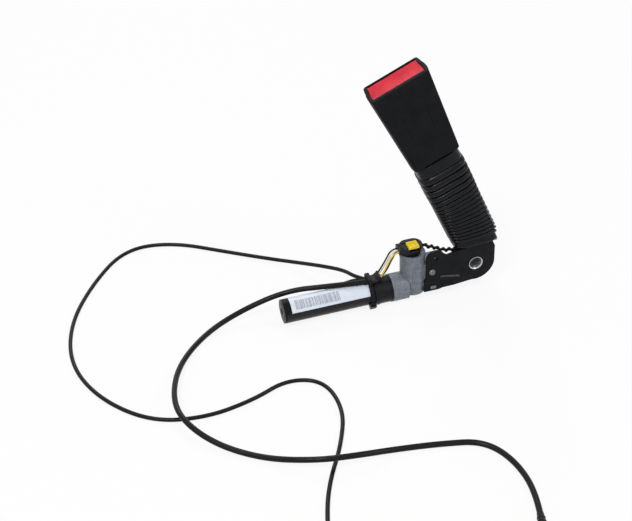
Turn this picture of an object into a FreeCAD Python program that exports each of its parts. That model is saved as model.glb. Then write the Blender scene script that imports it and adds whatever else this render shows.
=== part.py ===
import FreeCAD, Part
import math
import os

V = FreeCAD.Vector
os.makedirs("parts", exist_ok=True)

# Overall placing, millimetres. The origin is the centre of the mounting eye on the middle plane of the bracket.
# X runs along the pretensioner tube, Y away from the viewer, Z up.
fit_gap = 0.05
air_gap = 0.3

# Mounting eye and bracket
eye_bore_r = 5.2
bush_r = 6.35
bracket_end_r = 17.5
bracket_half = 11.0
plate_t = 2.5
wall_t = 2.6
wall_left_x = -24.0
wall_top_z = 17.0
bracket_low_z = -20.0
bracket_toe_x = -47.2
bracket_toe_top_z = -9.5
bracket_saddle_x = -26.4
bracket_top_z = 14.3
bracket_neck = 10.8
bracket_neck_top = 40.0
bead_left_x = -33.0
bead_right_x = -14.5
bead_z = -6.0
bead_slope_deg = 11.0

# Lobe of the bracket with its locating hole, and the rivet
lobe_x = -36.8
lobe_z = 12.6
lobe_r = 8.4
lobe_hole_r = 2.3
spacer_r = 4.3
rivet_x = -40.1
rivet_z = -0.2
rivet_shank_r = 2.1
rivet_head_r = 3.0
rivet_head_t = 1.3

# Wire rope and its guide
rope_r = 2.5
rope_wrap_r = 11.0
lean_deg = 23.5

# Tube, sleeve, tie and piston
tube_z = -15.5
tube_r = 10.5
tube_wall = 1.6
tube_roll_t = 1.2
tube_left_x = -172.0
tube_seat_x = -62.0
sleeve_left_x = -91.0
tie_x = -94.0
tie_width = 3.6
tie_t = 1.2
tie_head_deg = 35.0
piston_right_x = -70.0
piston_length = 14.0
end_ferrule_r = 4.5
ball_r = 1.6

# Cast housing
collar_left_x = -75.0
collar_right_x = -60.5
tower_x = -54.3
tower_r = 10.9
ring_r = 11.3
tower_low_z = -21.0
tower_top_z = 17.8
block_right_x = -31.5
block_low_z = -18.6
block_top_z = 7.5
foot_back_y = 8.0
chamber_r = 4.2
passage_r = 3.0
seal_r = 4.55
seal_length = 3.3
lug_x = -38.8
lug_half_x = 2.4
lug_z = -16.5
lug_half_z = 1.4

# Gas generator with its igniter
generator_r = 8.0
neck_r = 6.4
header_r = 4.55
pin_r = 0.5
pin_gap = 1.7
pin_length = 7.4

# Plug on the generator, its lock and its leads
plug_x = -55.8
plug_y = 0.0
plug_half_x = 9.8
plug_half_y = 7.6
plug_high_z = 26.5
stem_r = 6.2
outlet_half_y = 5.2
lock_x = -55.35
lock_half_x = 4.65
lock_front_y = -7.4
lock_back_y = 1.2
lock_low_z = 23.4
lock_top_z = 28.4
lead_r = 0.72
lead_pitch = 3.2
lead_depth = 4.6
switch_lead_r = 1.0
lead_split_s = 54.0

# Stalk and boot, measured along the leaning rope axis from the level of the eye
boot_half_w = 20.0
boot_wall = 2.1
boot_hem_gap = 0.5
boot_front_z = 20.0
boot_hem_deg = 5.0
boot_ridge_start = 24.0
boot_top = 118.2
boot_low_ridges = 11
boot_low_pitch = 4.5
boot_low_height = 1.4
boot_high_ridges = 5
boot_high_pitch = 6.5
boot_high_height = 2.0
collar_inner_w = 16.8
collar_inner_t = 11.0

# Buckle outside
buckle_length = 81.0
buckle_width_low = 38.5
buckle_width_high = 51.5
buckle_thickness = 25.0
buckle_bulge = 2.0
buckle_corner_r = 1.5
shell_t = 2.0
spigot_length = 8.0
panel_half_w = 10.5
panel_low = 141.0
panel_high = 170.0

# Mouth of the buckle: tongue slot behind the button
slot_low_y = 6.4
slot_high_y = 10.5
window_half = 22.6
window_side_r = 30.0
window_front_y = -9.2
lip_y = 7.9
lip_t = 3.6

# Buckle inside
channel_t = 0.9
channel_half_w = 15.0
pivot_y = 0.0
pivot_r = 1.8
anchor_r = 2.95
button_spring_w = 17.6
button_spring_y = -4.6
ejector_spring_w = 9.6
ejector_spring_y = 7.5
spring_wire_r = 0.35
switch_front_y = -9.9

# Cords
thin_cord_r = 1.75
thick_cord_r = 2.35
thin_plug_size = (24.0, 13.0, 9.0)
thick_plug_size = (22.0, 10.0, 8.0)
thin_plug_wall = 1.3
thick_plug_wall = 1.2

# Sizes that follow from the ones above
lean = math.radians(lean_deg)
bush_half_length = bracket_half + 0.7
tube_bore_r = tube_r - tube_wall
sleeve_r = tube_r + 1.2
collar_r = tube_r + 1.8
piston_seal_r = tube_bore_r - 1.6
floor_z = tube_z - collar_r - 0.1
tie_lead_z = tube_z + tube_r + 2.1
generator_floor_z = tower_top_z - 18.7
boot_half_t = bracket_half + air_gap + boot_wall
boot_low_z = bracket_top_z + boot_hem_gap
buckle_low = boot_top + 0.4
buckle_high = buckle_low + buckle_length
button_low_s = buckle_high - 18.6
channel_low_s = buckle_low + 3.4
channel_high_s = buckle_high - 4.0
rope_top_s = buckle_low + 9.0
anchor_s = buckle_low + 13.9
spring_stop_s = anchor_s - 6.5
pivot_s = anchor_s + 13.5
spring_seat_s = pivot_s + 19.0


def save(name, shape):
    """Write one sub-part after a check that it is sound."""
    if not shape.isValid():
        print("not sound:", name)
    shape.exportStep("parts/" + name + ".step")
    print(name, len(shape.Solids), "solids", round(shape.Volume, 1), "mm3")


def box(x0, x1, y0, y1, z0, z1):
    return Part.makeBox(x1 - x0, y1 - y0, z1 - z0, V(x0, y0, z0))


def rod_x(radius, x0, x1, y, z):
    return Part.makeCylinder(radius, x1 - x0, V(x0, y, z), V(1, 0, 0))


def rod_y(radius, y0, y1, x, z):
    return Part.makeCylinder(radius, y1 - y0, V(x, y0, z), V(0, 1, 0))


def rod_z(radius, z0, z1, x, y):
    return Part.makeCylinder(radius, z1 - z0, V(x, y, z0), V(0, 0, 1))


def ring_x(outer, inner, x0, x1, y, z):
    return rod_x(outer, x0, x1, y, z).cut(rod_x(inner, x0 - 1, x1 + 1, y, z))


def on_stalk(shape):
    """Move a shape from the stalk frame (across, depth, along) to its leaning place."""
    turn = FreeCAD.Rotation(V(0, 1, 0), -lean_deg)
    base = V(rope_wrap_r * math.cos(lean), 0, rope_wrap_r * math.sin(lean))
    placed = shape.copy()
    placed.Placement = FreeCAD.Placement(base, turn).multiply(placed.Placement)
    return placed


def stalk_point(across, depth, along):
    x = (rope_wrap_r + across) * math.cos(lean) - along * math.sin(lean)
    z = (rope_wrap_r + across) * math.sin(lean) + along * math.cos(lean)
    return V(x, depth, z)


def rounded_wire(centre, half_w, half_t, radius, level):
    """Rounded rectangle across the stalk at one level."""
    edges = []
    corners = [(1, 1, 0), (-1, 1, 90), (-1, -1, 180), (1, -1, 270)]
    ends = []
    for sx, sy, start in corners:
        cx = centre + sx * (half_w - radius)
        cy = sy * (half_t - radius)
        points = []
        for turn in (0, 45, 90):
            a = math.radians(start + turn)
            points.append(V(cx + radius * math.cos(a), cy + radius * math.sin(a), level))
        ends.append(points)
    for i in range(4):
        a, b, c = ends[i]
        edges.append(Part.Arc(a, b, c).toShape())
        edges.append(Part.LineSegment(c, ends[(i + 1) % 4][0]).toShape())
    return Part.Wire(edges)


def barrel_wire(centre, half_w, half_t, bulge, radius, level):
    """Section of the buckle: flat front and back, small corner arcs, sides that bulge outwards."""
    side_w = half_w - bulge
    near = 0.293 * radius
    edges = []
    for turned in (1, -1):
        right = centre + turned * side_w
        flat_in = centre + turned * (side_w - radius)
        low = -turned * half_t
        high = turned * half_t
        low_side = V(right, low + turned * radius, level)
        high_side = V(right, high - turned * radius, level)
        low_corner = V(right - turned * near, low + turned * near, level)
        high_corner = V(right - turned * near, high - turned * near, level)
        edges.append(Part.Arc(V(flat_in, low, level), low_corner, low_side).toShape())
        edges.append(Part.Arc(low_side, V(centre + turned * half_w, 0, level), high_side).toShape())
        edges.append(Part.Arc(high_side, high_corner, V(flat_in, high, level)).toShape())
        other = centre - turned * (side_w - radius)
        edges.append(Part.LineSegment(V(flat_in, high, level), V(other, high, level)).toShape())
    return Part.Wire(edges)


def stack(sections):
    return Part.makeLoft([rounded_wire(*s) for s in sections], True, True)


def tube_path(points):
    """Straight runs joined by tangent arcs, with the smallest bend radius."""
    edges = []
    smallest = 1e9
    start = points[0]
    for i in range(1, len(points) - 1):
        into = points[i].sub(points[i - 1])
        out = points[i + 1].sub(points[i])
        shorter = min(into.Length, out.Length)
        turn = into.getAngle(out)
        reach = 0.45 * shorter
        radius = reach / math.tan(turn / 2)
        smallest = min(smallest, radius)
        u_in = V(into).normalize()
        u_out = V(out).normalize()
        a = points[i].sub(u_in * reach)
        b = points[i].add(u_out * reach)
        inward = V(u_out.sub(u_in)).normalize()
        centre_far = radius / math.cos(turn / 2)
        mid = points[i].add(inward * (centre_far - radius))
        edges.append(Part.LineSegment(start, a).toShape())
        edges.append(Part.Arc(a, mid, b).toShape())
        start = b
    edges.append(Part.LineSegment(start, points[-1]).toShape())
    return Part.Wire(edges), smallest


def round_cord(name, points, radius):
    path, smallest = tube_path(points)
    direction = points[1].sub(points[0])
    ring = Part.Wire([Part.makeCircle(radius, points[0], direction)])
    solid = path.makePipeShell([ring], True, True)
    section = math.pi * radius * radius
    print(name, "length", round(path.Length, 1), "smallest bend", round(smallest, 1),
          "volume share", round(solid.Volume / (section * path.Length), 3))
    return solid


def coil(turns, height, radius, wire_r, base, direction):
    """Coil spring of square wire: short straight pieces between stations along a helix."""
    steps = int(round(turns * 8))
    sections = []
    for i in range(steps + 1):
        turned = math.radians(45.0 * i)
        out = V(math.cos(turned), math.sin(turned), 0)
        centre = out * radius
        centre.z = wire_r + (height - 2 * wire_r) * i / steps
        up = V(0, 0, wire_r)
        corners = [centre + out * wire_r + up, centre - out * wire_r + up,
                   centre - out * wire_r - up, centre + out * wire_r - up]
        sections.append(Part.makePolygon(corners + [corners[0]]))
    spring = Part.makeLoft(sections, True, True)
    spring.Placement = FreeCAD.Placement(base, FreeCAD.Rotation(V(0, 0, 1), direction))
    return spring


def plate_outline(inset, y0, y1):
    """Side outline of the bracket, moved inward by the inset, as a slab from y0 to y1."""
    r = bracket_end_r - inset
    neck = bracket_neck - inset
    right_x = r
    neck_z = (rope_wrap_r + neck - right_x * math.cos(lean)) / math.sin(lean)
    top_right = stalk_point(neck, 0, bracket_neck_top - inset)
    top_left = stalk_point(-neck, 0, bracket_neck_top - inset)
    foot_s = (bracket_top_z - inset - (rope_wrap_r - neck) * math.sin(lean)) / math.cos(lean)
    foot = stalk_point(-neck, 0, foot_s)
    low = math.radians(-100)
    low_mid = math.radians(-50)
    lobe_in = lobe_r - inset
    off = math.radians(25)
    low_z = bracket_low_z + inset
    left = lobe_x - lobe_in
    toe = bracket_toe_x + inset
    points = [
        V(r * math.cos(low), y0, r * math.sin(low)),
        V(-20, y0, low_z + 1.1),
        V(-30, y0, low_z + 1.0),
        V(-34, y0, low_z),
        V(toe, y0, low_z),
        V(toe, y0, bracket_toe_top_z - inset),
        V(left, y0, bracket_toe_top_z - inset + 3.0),
        V(lobe_x - lobe_in, y0, lobe_z),
    ]
    start = V(right_x, y0, neck_z)
    edges = [Part.LineSegment(start, V(right_x, y0, 0)).toShape()]
    bend = V(r * math.cos(low_mid), y0, r * math.sin(low_mid))
    edges.append(Part.Arc(V(right_x, y0, 0), bend, points[0]).toShape())
    for a, b in zip(points, points[1:]):
        edges.append(Part.LineSegment(a, b).toShape())
    lobe_end = V(lobe_x + lobe_in * math.cos(off), y0, lobe_z + lobe_in * math.sin(off))
    edges.append(Part.Arc(points[-1], V(lobe_x, y0, lobe_z + lobe_in), lobe_end).toShape())
    rest = [
        lobe_end,
        V(bracket_saddle_x, y0, bracket_top_z - inset),
        V(foot.x, y0, bracket_top_z - inset),
        V(top_left.x, y0, top_left.z),
        V(top_right.x, y0, top_right.z),
        start,
    ]
    for a, b in zip(rest, rest[1:]):
        edges.append(Part.LineSegment(a, b).toShape())
    face = Part.Face(Part.Wire(edges))
    return face.extrude(V(0, y1 - y0, 0))


def bracket_holes(shape, y0, y1):
    shape = shape.cut(rod_y(bush_r, y0, y1, 0, 0))
    shape = shape.cut(rod_y(lobe_hole_r, y0, y1, lobe_x, lobe_z))
    return shape.cut(rod_y(rivet_shank_r, y0, y1, rivet_x, rivet_z))


def bracket_front():
    """Front plate with a stiffening bead and a slot for the housing lug."""
    inner = -bracket_half + plate_t
    plate = plate_outline(0, -bracket_half, inner)
    bead = box(bead_left_x, bead_right_x, -bracket_half - 0.6, -bracket_half + 0.5, -0.8, 0.8)
    bead = bead.makeChamfer(0.35, bead.Edges)
    bead.rotate(V(bead_left_x, 0, 0), V(0, 1, 0), bead_slope_deg)
    bead.translate(V(0, 0, bead_z))
    plate = plate.fuse(bead)
    lug_slot = box(lug_x - lug_half_x - 0.2, lug_x + lug_half_x + 0.2, -bracket_half - 1, inner + 1,
                   lug_z - lug_half_z - 0.2, lug_z + lug_half_z + 0.2)
    plate = plate.cut(lug_slot)
    return bracket_holes(plate, -bracket_half - 2, inner + 1).removeSplitter()


def bracket_rear():
    """Rear plate with the wall that wraps round the rope."""
    plate = plate_outline(0, bracket_half - plate_t, bracket_half)
    y0 = -bracket_half + plate_t
    y1 = bracket_half - plate_t
    wall = plate_outline(0, y0, y1)
    wall = wall.cut(plate_outline(wall_t, y0 - 1, y1 + 1))
    low_keep = box(wall_left_x, bracket_end_r + 1, y0, y1, -30, -5)
    side_keep = box(10, bracket_end_r + 1, y0, y1, -30, wall_top_z)
    wall = wall.common(low_keep.fuse(side_keep))
    rear = plate.fuse(wall).removeSplitter()
    return bracket_holes(rear, y0 - 5, bracket_half + 1)


def bracket_spacer():
    """Spacer tube between the plates at the locating hole."""
    half = bracket_half - plate_t
    spacer = rod_y(spacer_r, -half, half, lobe_x, lobe_z)
    return spacer.cut(rod_y(lobe_hole_r, -half - 1, half + 1, lobe_x, lobe_z))


def mounting_bush():
    """Steel bush of the mounting eye with a bore for an M10 bolt."""
    sleeve = rod_y(bush_r, -bush_half_length, bush_half_length, 0, 0)
    sleeve = sleeve.cut(rod_y(eye_bore_r, -20, 20, 0, 0))
    for side in (-1, 1):
        y = side * bush_half_length
        cone = Part.makeCone(eye_bore_r + 0.6, eye_bore_r - 0.6, 1.2, V(0, y, 0), V(0, -side, 0))
        sleeve = sleeve.cut(cone)
    return sleeve


def cable_guide():
    """Grooved saddle between the bush and the rope."""
    half = bracket_half - plate_t - 0.1
    body = rod_y(rope_wrap_r + 0.4, -half, half, 0, 0)
    groove = Part.makeTorus(rope_wrap_r, rope_r + 0.15, V(0, 0, 0), V(0, 1, 0))
    body = body.cut(groove)
    entry = Part.makeCylinder(rope_r + 0.15, 60, rope_low_touch(), rope_low_direction())
    leave = Part.makeCylinder(rope_r + 0.15, 60, stalk_point(0, 0, 0), stalk_direction())
    body = body.cut(entry).cut(leave)
    cover = box(-30, 30, -half - 1, half + 1, 0, 30)
    cover = cover.cut(rod_y(bush_r + 1.2, -half - 2, half + 2, 0, 0))
    body = body.cut(cover)
    ring = rod_y(bush_r + 1.2, -half, half, 0, 0)
    body = body.fuse(ring).cut(rod_y(bush_r, -half - 1, half + 1, 0, 0))
    return body


def rope_low_angle():
    """Slope of the rope between the housing and the guide."""
    reach = math.hypot(rope_exit_x(), tube_z)
    return math.atan2(-tube_z, -rope_exit_x()) - math.asin(rope_wrap_r / reach)


def rope_exit_x():
    return tower_x + tower_r - 1.0


def rope_low_touch():
    a = rope_low_angle()
    return V(rope_wrap_r * math.sin(a), 0, -rope_wrap_r * math.cos(a))


def rope_low_direction():
    a = rope_low_angle()
    return V(-math.cos(a), 0, -math.sin(a))


def stalk_direction():
    return V(-math.sin(lean), 0, math.cos(lean))


def sweep(edges, radius, start, direction):
    ring = Part.Wire([Part.makeCircle(radius, start, direction)])
    return Part.Wire(edges).makePipeShell([ring], True, True)


def rope_wrap():
    """Rope from the housing round the guide to the foot of the stalk."""
    a = rope_low_angle()
    start = V(rope_exit_x() - 3.5, 0, tube_z)
    bend = V(rope_exit_x(), 0, tube_z)
    low = rope_low_touch()
    mid_a = (a - math.pi / 2 + lean) / 2
    mid = V(rope_wrap_r * math.cos(mid_a), 0, rope_wrap_r * math.sin(mid_a))
    high = stalk_point(0, 0, 0)
    top = stalk_point(0, 0, 12)
    along = rope_low_direction() * -1.0
    b0 = bend.sub(V(3.0, 0, 0))
    b1 = bend.add(along * 3.0)
    radius = 3.0 / math.tan(a / 2)
    inward = V(along.sub(V(1, 0, 0))).normalize()
    bm = bend.add(inward * (radius / math.cos(a / 2) - radius))
    edges = [
        Part.LineSegment(start, b0).toShape(),
        Part.Arc(b0, bm, b1).toShape(),
        Part.LineSegment(b1, low).toShape(),
        Part.Arc(low, mid, high).toShape(),
        Part.LineSegment(high, top).toShape(),
    ]
    return sweep(edges, rope_r, start, V(1, 0, 0))


def rope_tube_run():
    return rod_x(rope_r, piston_right_x - piston_length - 3, rope_exit_x() - 3.5, 0, tube_z)


def rope_stalk_run():
    return on_stalk(rod_z(rope_r, 12, rope_top_s, 0, 0))


def bracket_rivet():
    """Rivet that clamps both plates to the housing block."""
    shank = rod_y(rivet_shank_r, -bracket_half, bracket_half, rivet_x, rivet_z)
    for side in (-1, 1):
        head = Part.makeCone(rivet_head_r, rivet_head_r - 0.8, rivet_head_t,
                             V(rivet_x, side * bracket_half, rivet_z), V(0, side, 0))
        shank = shank.fuse(head)
    return shank


def housing():
    """Die cast housing that joins generator, tube and bracket."""
    block_half = bracket_half - plate_t
    block = box(rope_exit_x() - 6, block_right_x, -block_half, block_half, block_low_z, block_top_z)
    body = rod_z(tower_r, tower_low_z, tower_top_z, tower_x, 0)
    body = body.fuse(Part.makeCone(tower_r, ring_r, 2.2, V(tower_x, 0, tower_top_z - 4.2)))
    body = body.fuse(rod_z(ring_r, tower_top_z - 2.0, tower_top_z, tower_x, 0))
    body = body.fuse(rod_x(collar_r, collar_left_x, collar_right_x, 0, tube_z))
    body = body.fuse(block)
    body = body.fuse(box(tower_x + 1, tower_x + 13, 0.5, foot_back_y, floor_z, block_low_z + 0.5))
    lug = box(lug_x - lug_half_x, lug_x + lug_half_x, -bracket_half - 0.4, -block_half,
              lug_z - lug_half_z, lug_z + lug_half_z)
    body = body.fuse(lug)
    body = body.cut(rod_z(generator_r + fit_gap, generator_floor_z, tower_top_z + 1, tower_x, 0))
    body = body.cut(rod_z(passage_r, tube_z, generator_floor_z + 1, tower_x, 0))
    body = body.cut(rod_x(tube_r, collar_left_x - 1, tube_seat_x, 0, tube_z))
    body = body.cut(rod_x(chamber_r, tube_seat_x - 1, seal_left_x() - 0.1, 0, tube_z))
    body = body.cut(rod_x(rope_r + 0.4, tower_x, rope_exit_x() + 1, 0, tube_z))
    body = body.cut(rod_x(seal_r + fit_gap, seal_left_x() - 1, seal_left_x() + seal_length + 0.1, 0, tube_z))
    channel = Part.makeCylinder(rope_r + 0.8, 60, rope_low_touch(), rope_low_direction())
    channel = channel.common(box(rope_exit_x() - 1, 0, -9, 9, -30, 10))
    body = body.cut(channel)
    body = body.cut(rod_y(rivet_shank_r, -20, 20, rivet_x, rivet_z))
    return body.removeSplitter()


def seal_left_x():
    """The rope seal sits just inside the wall where the rope leaves."""
    return tower_x + 3.8


def rope_seal():
    x = seal_left_x()
    return ring_x(seal_r, rope_r + 0.02, x, x + seal_length, 0, tube_z)


def piston_tube():
    """Steel tube, rolled in at its far end to hold the end plug."""
    tube = rod_x(tube_r, tube_left_x, tube_seat_x, 0, tube_z)
    tube = tube.cut(rod_x(tube_bore_r, tube_left_x + tube_roll_t, tube_seat_x + 1, 0, tube_z))
    return tube.cut(rod_x(tube_bore_r - tube_wall, tube_left_x - 1, tube_seat_x, 0, tube_z))


def tube_end_plug():
    inside = tube_left_x + tube_roll_t + fit_gap
    plug = rod_x(tube_bore_r - fit_gap, inside, inside + 4.75, 0, tube_z)
    boss = rod_x(tube_bore_r - tube_wall - 0.1, tube_left_x - 0.2, inside, 0, tube_z)
    recess = rod_x(3.0, tube_left_x - 1, tube_left_x + 2, 0, tube_z)
    return plug.fuse(boss).cut(recess)


def tube_sleeve():
    """Rubber sleeve with two rings between tie and housing collar."""
    sleeve = rod_x(sleeve_r, sleeve_left_x, collar_left_x, 0, tube_z)
    sleeve = sleeve.fuse(rod_x(sleeve_r + 0.5, sleeve_left_x + 2, sleeve_left_x + 4, 0, tube_z))
    sleeve = sleeve.fuse(rod_x(sleeve_r + 0.4, collar_left_x - 1.6, collar_left_x, 0, tube_z))
    return sleeve.cut(rod_x(tube_r + 0.02, sleeve_left_x - 1, collar_left_x + 1, 0, tube_z))


def cable_tie():
    """Strap round the tube and over the leads, with its lock head low at the front."""
    x0 = tie_x - tie_width / 2
    x1 = tie_x + tie_width / 2
    tube_top = tube_z + tube_r
    leads_top = tube_top + 2 * thick_cord_r + 0.35
    strap = rod_x(tube_r + tie_t, x0, x1, 0, tube_z)
    loop = box(x0, x1, -5.7, 7.0, tube_top - 2.5, leads_top + tie_t)
    loop = loop.makeFillet(1.6, long_edges_at_top(loop, leads_top + tie_t))
    strap = strap.fuse(loop)
    strap = strap.cut(rod_x(tube_r + 0.02, x0 - 1, x1 + 1, 0, tube_z))
    window = box(x0 - 1, x1 + 1, -4.6, 5.9, tube_top - 1.6, leads_top)
    strap = strap.cut(window.cut(rod_x(tube_r + 0.02, x0 - 2, x1 + 2, 0, tube_z)))
    head = box(x0 - 0.9, x1 + 0.9, -tube_r - tie_t - 2.9, -tube_r - 0.5, -2.7, 2.7)
    tail = box(x0 + 0.4, x1 - 0.4, -tube_r - tie_t - 1.7, -tube_r - 0.6, -4.4, 4.4)
    head = head.fuse(tail)
    head.rotate(V(0, 0, 0), V(1, 0, 0), tie_head_deg)
    head.translate(V(0, 0, tube_z))
    head = head.cut(rod_x(tube_r + 0.02, x0 - 3, x1 + 3, 0, tube_z))
    return strap.fuse(head).removeSplitter()


def long_edges_at_top(block, level):
    """The two edges of a block that run along X at the given level."""
    found = []
    for edge in block.Edges:
        a = edge.Vertexes[0].Point
        b = edge.Vertexes[1].Point
        if abs(a.z - level) < 0.01 and abs(b.z - level) < 0.01 and abs(a.y - b.y) < 0.01:
            found.append(edge)
    return found


def piston():
    """Piston with a seal groove and pockets for its locking balls."""
    left = piston_right_x - piston_length
    body = rod_x(tube_bore_r - 0.08, left, piston_right_x, 0, tube_z)
    body = body.cut(rod_x(rope_r + 0.1, left - 1, piston_right_x + 1, 0, tube_z))
    body = body.cut(rod_x(end_ferrule_r + 0.1, left - 1, left + 6, 0, tube_z))
    body = body.cut(ring_x(tube_r, piston_seal_r - 0.1, piston_right_x - 4.5, piston_right_x - 2.5, 0, tube_z))
    for ball in ball_places():
        out = V(0, ball.y, ball.z - tube_z).normalize()
        foot = V(ball.x, 0, tube_z).add(out * (ball_track_r() - ball_r - fit_gap))
        body = body.cut(Part.makeCylinder(ball_r + 0.1, 2 * ball_r + 3, foot, out))
    return body


def ball_track_r():
    """Distance of the locking balls from the middle of the tube."""
    return tube_bore_r - ball_r - 0.15


def ball_places():
    places = []
    for i in range(3):
        a = math.radians(90 + 120 * i)
        x = piston_right_x - piston_length + 4.0
        places.append(V(x, ball_track_r() * math.cos(a), tube_z + ball_track_r() * math.sin(a)))
    return places


def lock_balls():
    return Part.makeCompound([Part.makeSphere(ball_r, p) for p in ball_places()])


def piston_seal():
    return ring_x(tube_bore_r - 0.03, piston_seal_r, piston_right_x - 4.4, piston_right_x - 2.6, 0, tube_z)


def rope_end_ferrule():
    left = piston_right_x - piston_length
    return ring_x(end_ferrule_r, rope_r + 0.02, left - 3, left + 5.9, 0, tube_z)


def gas_generator():
    """Sealed canister with a crimped neck."""
    shoulder_z = tower_top_z - 5.7
    can = rod_z(generator_r, generator_floor_z + 0.1, shoulder_z, tower_x, 0)
    neck = rod_z(neck_r, shoulder_z, neck_top_z(), tower_x, 0)
    crimp = Part.makeTorus(neck_r + 0.2, 0.7, V(tower_x, 0, shoulder_z + 1.6))
    base = Part.makeCone(generator_r, generator_r - 0.8, 0.8, V(tower_x, 0, shoulder_z))
    can = can.fuse(neck).fuse(crimp).fuse(base)
    can = can.cut(rod_z(header_r + fit_gap, neck_top_z() - 1.6, neck_top_z() + 1, tower_x, 0))
    return can.removeSplitter()


def neck_top_z():
    return tower_top_z - 2.5


def generator_clip():
    """Ring that holds the canister in the housing."""
    low = neck_top_z() - 0.6
    ring = rod_z(generator_r, low, low + 1.8, tower_x, 0)
    ring = ring.cut(rod_z(neck_r + 0.95, low - 1, low + 3, tower_x, 0))
    gap = box(tower_x - 1.5, tower_x + 1.5, 0, 12, low - 1, low + 3)
    return ring.cut(gap)


def igniter():
    """Glass sealed header with its two contact pins."""
    low = neck_top_z() - 1.6
    header = rod_z(header_r, low, low + 1.4, tower_x, 0)
    for side in (-1, 1):
        header = header.fuse(rod_z(pin_r, low + 0.9, low + pin_length, tower_x + side * pin_gap, 0))
    return header


def plug_outline(half_x, half_y, low, high):
    wire = rounded_wire(0, half_x, half_y, min(half_x, half_y) - 0.6, 0)
    face = Part.Face(wire)
    block = face.extrude(V(0, 0, high - low))
    block.translate(V(plug_x, plug_y, low))
    return block


def squib_connector():
    """Black angled plug with a lead outlet on its left side and a window for its lock."""
    low = tower_top_z + air_gap
    step_z = plug_high_z - 3.1
    body = plug_outline(plug_half_x - 1.2, plug_half_y - 0.8, low, step_z)
    body = body.fuse(plug_outline(plug_half_x, plug_half_y, step_z - 0.1, plug_high_z))
    left = plug_x - plug_half_x - 2.2
    outlet = box(left, plug_x - 4, -outlet_half_y, outlet_half_y, lead_exit_z() - 2.3, plug_high_z - 0.7)
    body = body.fuse(outlet)
    stem = rod_z(stem_r, neck_top_z() + 1.3, low + 1, tower_x, 0)
    stem = stem.fuse(rod_z(stem_r - 1.8, neck_top_z() + 0.1, neck_top_z() + 2.4, tower_x, 0))
    body = body.fuse(stem)
    body = body.cut(lock_space(0.3, lock_low_z - 0.4, plug_high_z + 10))
    rib_y = lock_back_y + 1.4
    rib = box(plug_x - 7.5, plug_x + 7.5, rib_y, rib_y + 1.0, plug_high_z - 0.2, plug_high_z + 0.6)
    body = body.fuse(rib)
    pins_top = neck_top_z() - 1.6 + pin_length + 0.4
    for side in (-1, 1):
        body = body.cut(rod_z(pin_r + fit_gap, neck_top_z() - 1, pins_top, tower_x + side * pin_gap, 0))
    for y in lead_rows():
        body = body.cut(rod_x(lead_r + 0.02, left - 2, left + lead_depth, y, lead_exit_z()))
    return body.removeSplitter()


def lock_space(gap, low, high):
    """Room of the lock, grown by a gap."""
    half_x = lock_half_x + gap
    return box(lock_x - half_x, lock_x + half_x, lock_front_y - gap, lock_back_y + gap, low, high)


def connector_lock():
    """Lock that slides up out of the plug, with a grip recess, a front lip and two legs."""
    head = lock_space(0, plug_high_z - 1.6, lock_top_z)
    left = lock_x - lock_half_x
    front = box(left, left + 2 * lock_half_x, lock_front_y, lock_front_y + 1.6, lock_low_z, lock_top_z - 1)
    head = head.fuse(front)
    grip = box(lock_x - 2.7, lock_x + 2.7, lock_front_y + 2.4, lock_back_y - 2.0, lock_top_z - 0.8,
               lock_top_z + 1)
    head = head.cut(grip)
    for side in (-1, 1):
        x = lock_x + side * (lock_half_x - 1.4)
        leg = box(x - 0.5, x + 0.5, lock_front_y + 3.0, lock_back_y - 0.6, lock_low_z, plug_high_z - 1.5)
        head = head.fuse(leg)
    return head.removeSplitter()


def lead_rows():
    return [-lead_pitch, 0.0, lead_pitch]


def lead_exit_z():
    return plug_high_z - 3.6


def lead_points(row, end_y, end_z):
    """Route of one thin lead from the plug down to the tie on the tube."""
    x = plug_x - plug_half_x - 2.2
    z = lead_exit_z()
    return [
        V(x + lead_depth, row, z),
        V(x - 4.6, row, z),
        V(x - 9.4, row * 0.95, z - 9.4),
        V(x - 14.2, 0.5 * (row + end_y), z - 18.6),
        V(x - 18.6, end_y, end_z + 0.5),
        V(tie_x + 0.2, end_y, end_z),
    ]


def lead_black():
    return round_cord("lead_black", lead_points(lead_rows()[2], 4.35, tie_lead_z), lead_r)


def lead_yellow():
    return round_cord("lead_yellow", lead_points(lead_rows()[0], -3.3, tie_lead_z), lead_r)


def lead_white():
    return round_cord("lead_white", lead_points(lead_rows()[1], 2.45, tie_lead_z), lead_r)


def switch_lead():
    """Lead of the buckle switch: tie, round the back of the plug, over the bracket, into the boot."""
    points = [
        V(tie_x, -0.6, tie_lead_z + 0.5),
        V(-86.5, -0.1, tie_lead_z + 0.75),
        V(-80.0, 3.2, tie_lead_z + 0.5),
        V(-73.5, 9.6, -1.2),
        V(-68.0, 12.9, 6.0),
        V(-61.0, 13.6, 15.0),
        V(-53.0, 12.2, 20.4),
        V(-46.0, 7.0, 21.8),
        V(-40.0, 2.2, 20.4),
        V(-34.5, -0.6, 19.4),
        V(-29.2, -2.6, 17.6),
        V(-23.5, -4.4, 16.3),
        V(-16.5, -5.3, 15.5),
        V(-8.5, -5.5, 15.6),
        V(1.0, -5.5, 16.6),
        V(5.0, -5.5, 24.2),
        V(2.0, -5.5, 33.5),
        stalk_point(0, -5.4, 46.0),
        stalk_point(0, -5.4, 54.0),
    ]
    return round_cord("switch_lead", points, switch_lead_r)


def switch_lead_stalk():
    """Lead inside the boot, loosely waved so that it can fold with the stroke."""
    reach = pivot_s - 8.0 - lead_split_s
    waves = [
        (0, 0, -5.4), (0.095, 0, -5.4), (0.24, -1.5, -6.6), (0.405, -3.5, -5.2),
        (0.56, -5.5, -6.6), (0.715, -8.4, -7.0), (0.857, -8.0, -7.6), (1, -8.0, -7.6),
    ]
    points = [stalk_point(across, depth, lead_split_s + share * reach) for share, across, depth in waves]
    return round_cord("switch_lead_stalk", points, switch_lead_r)


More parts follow.
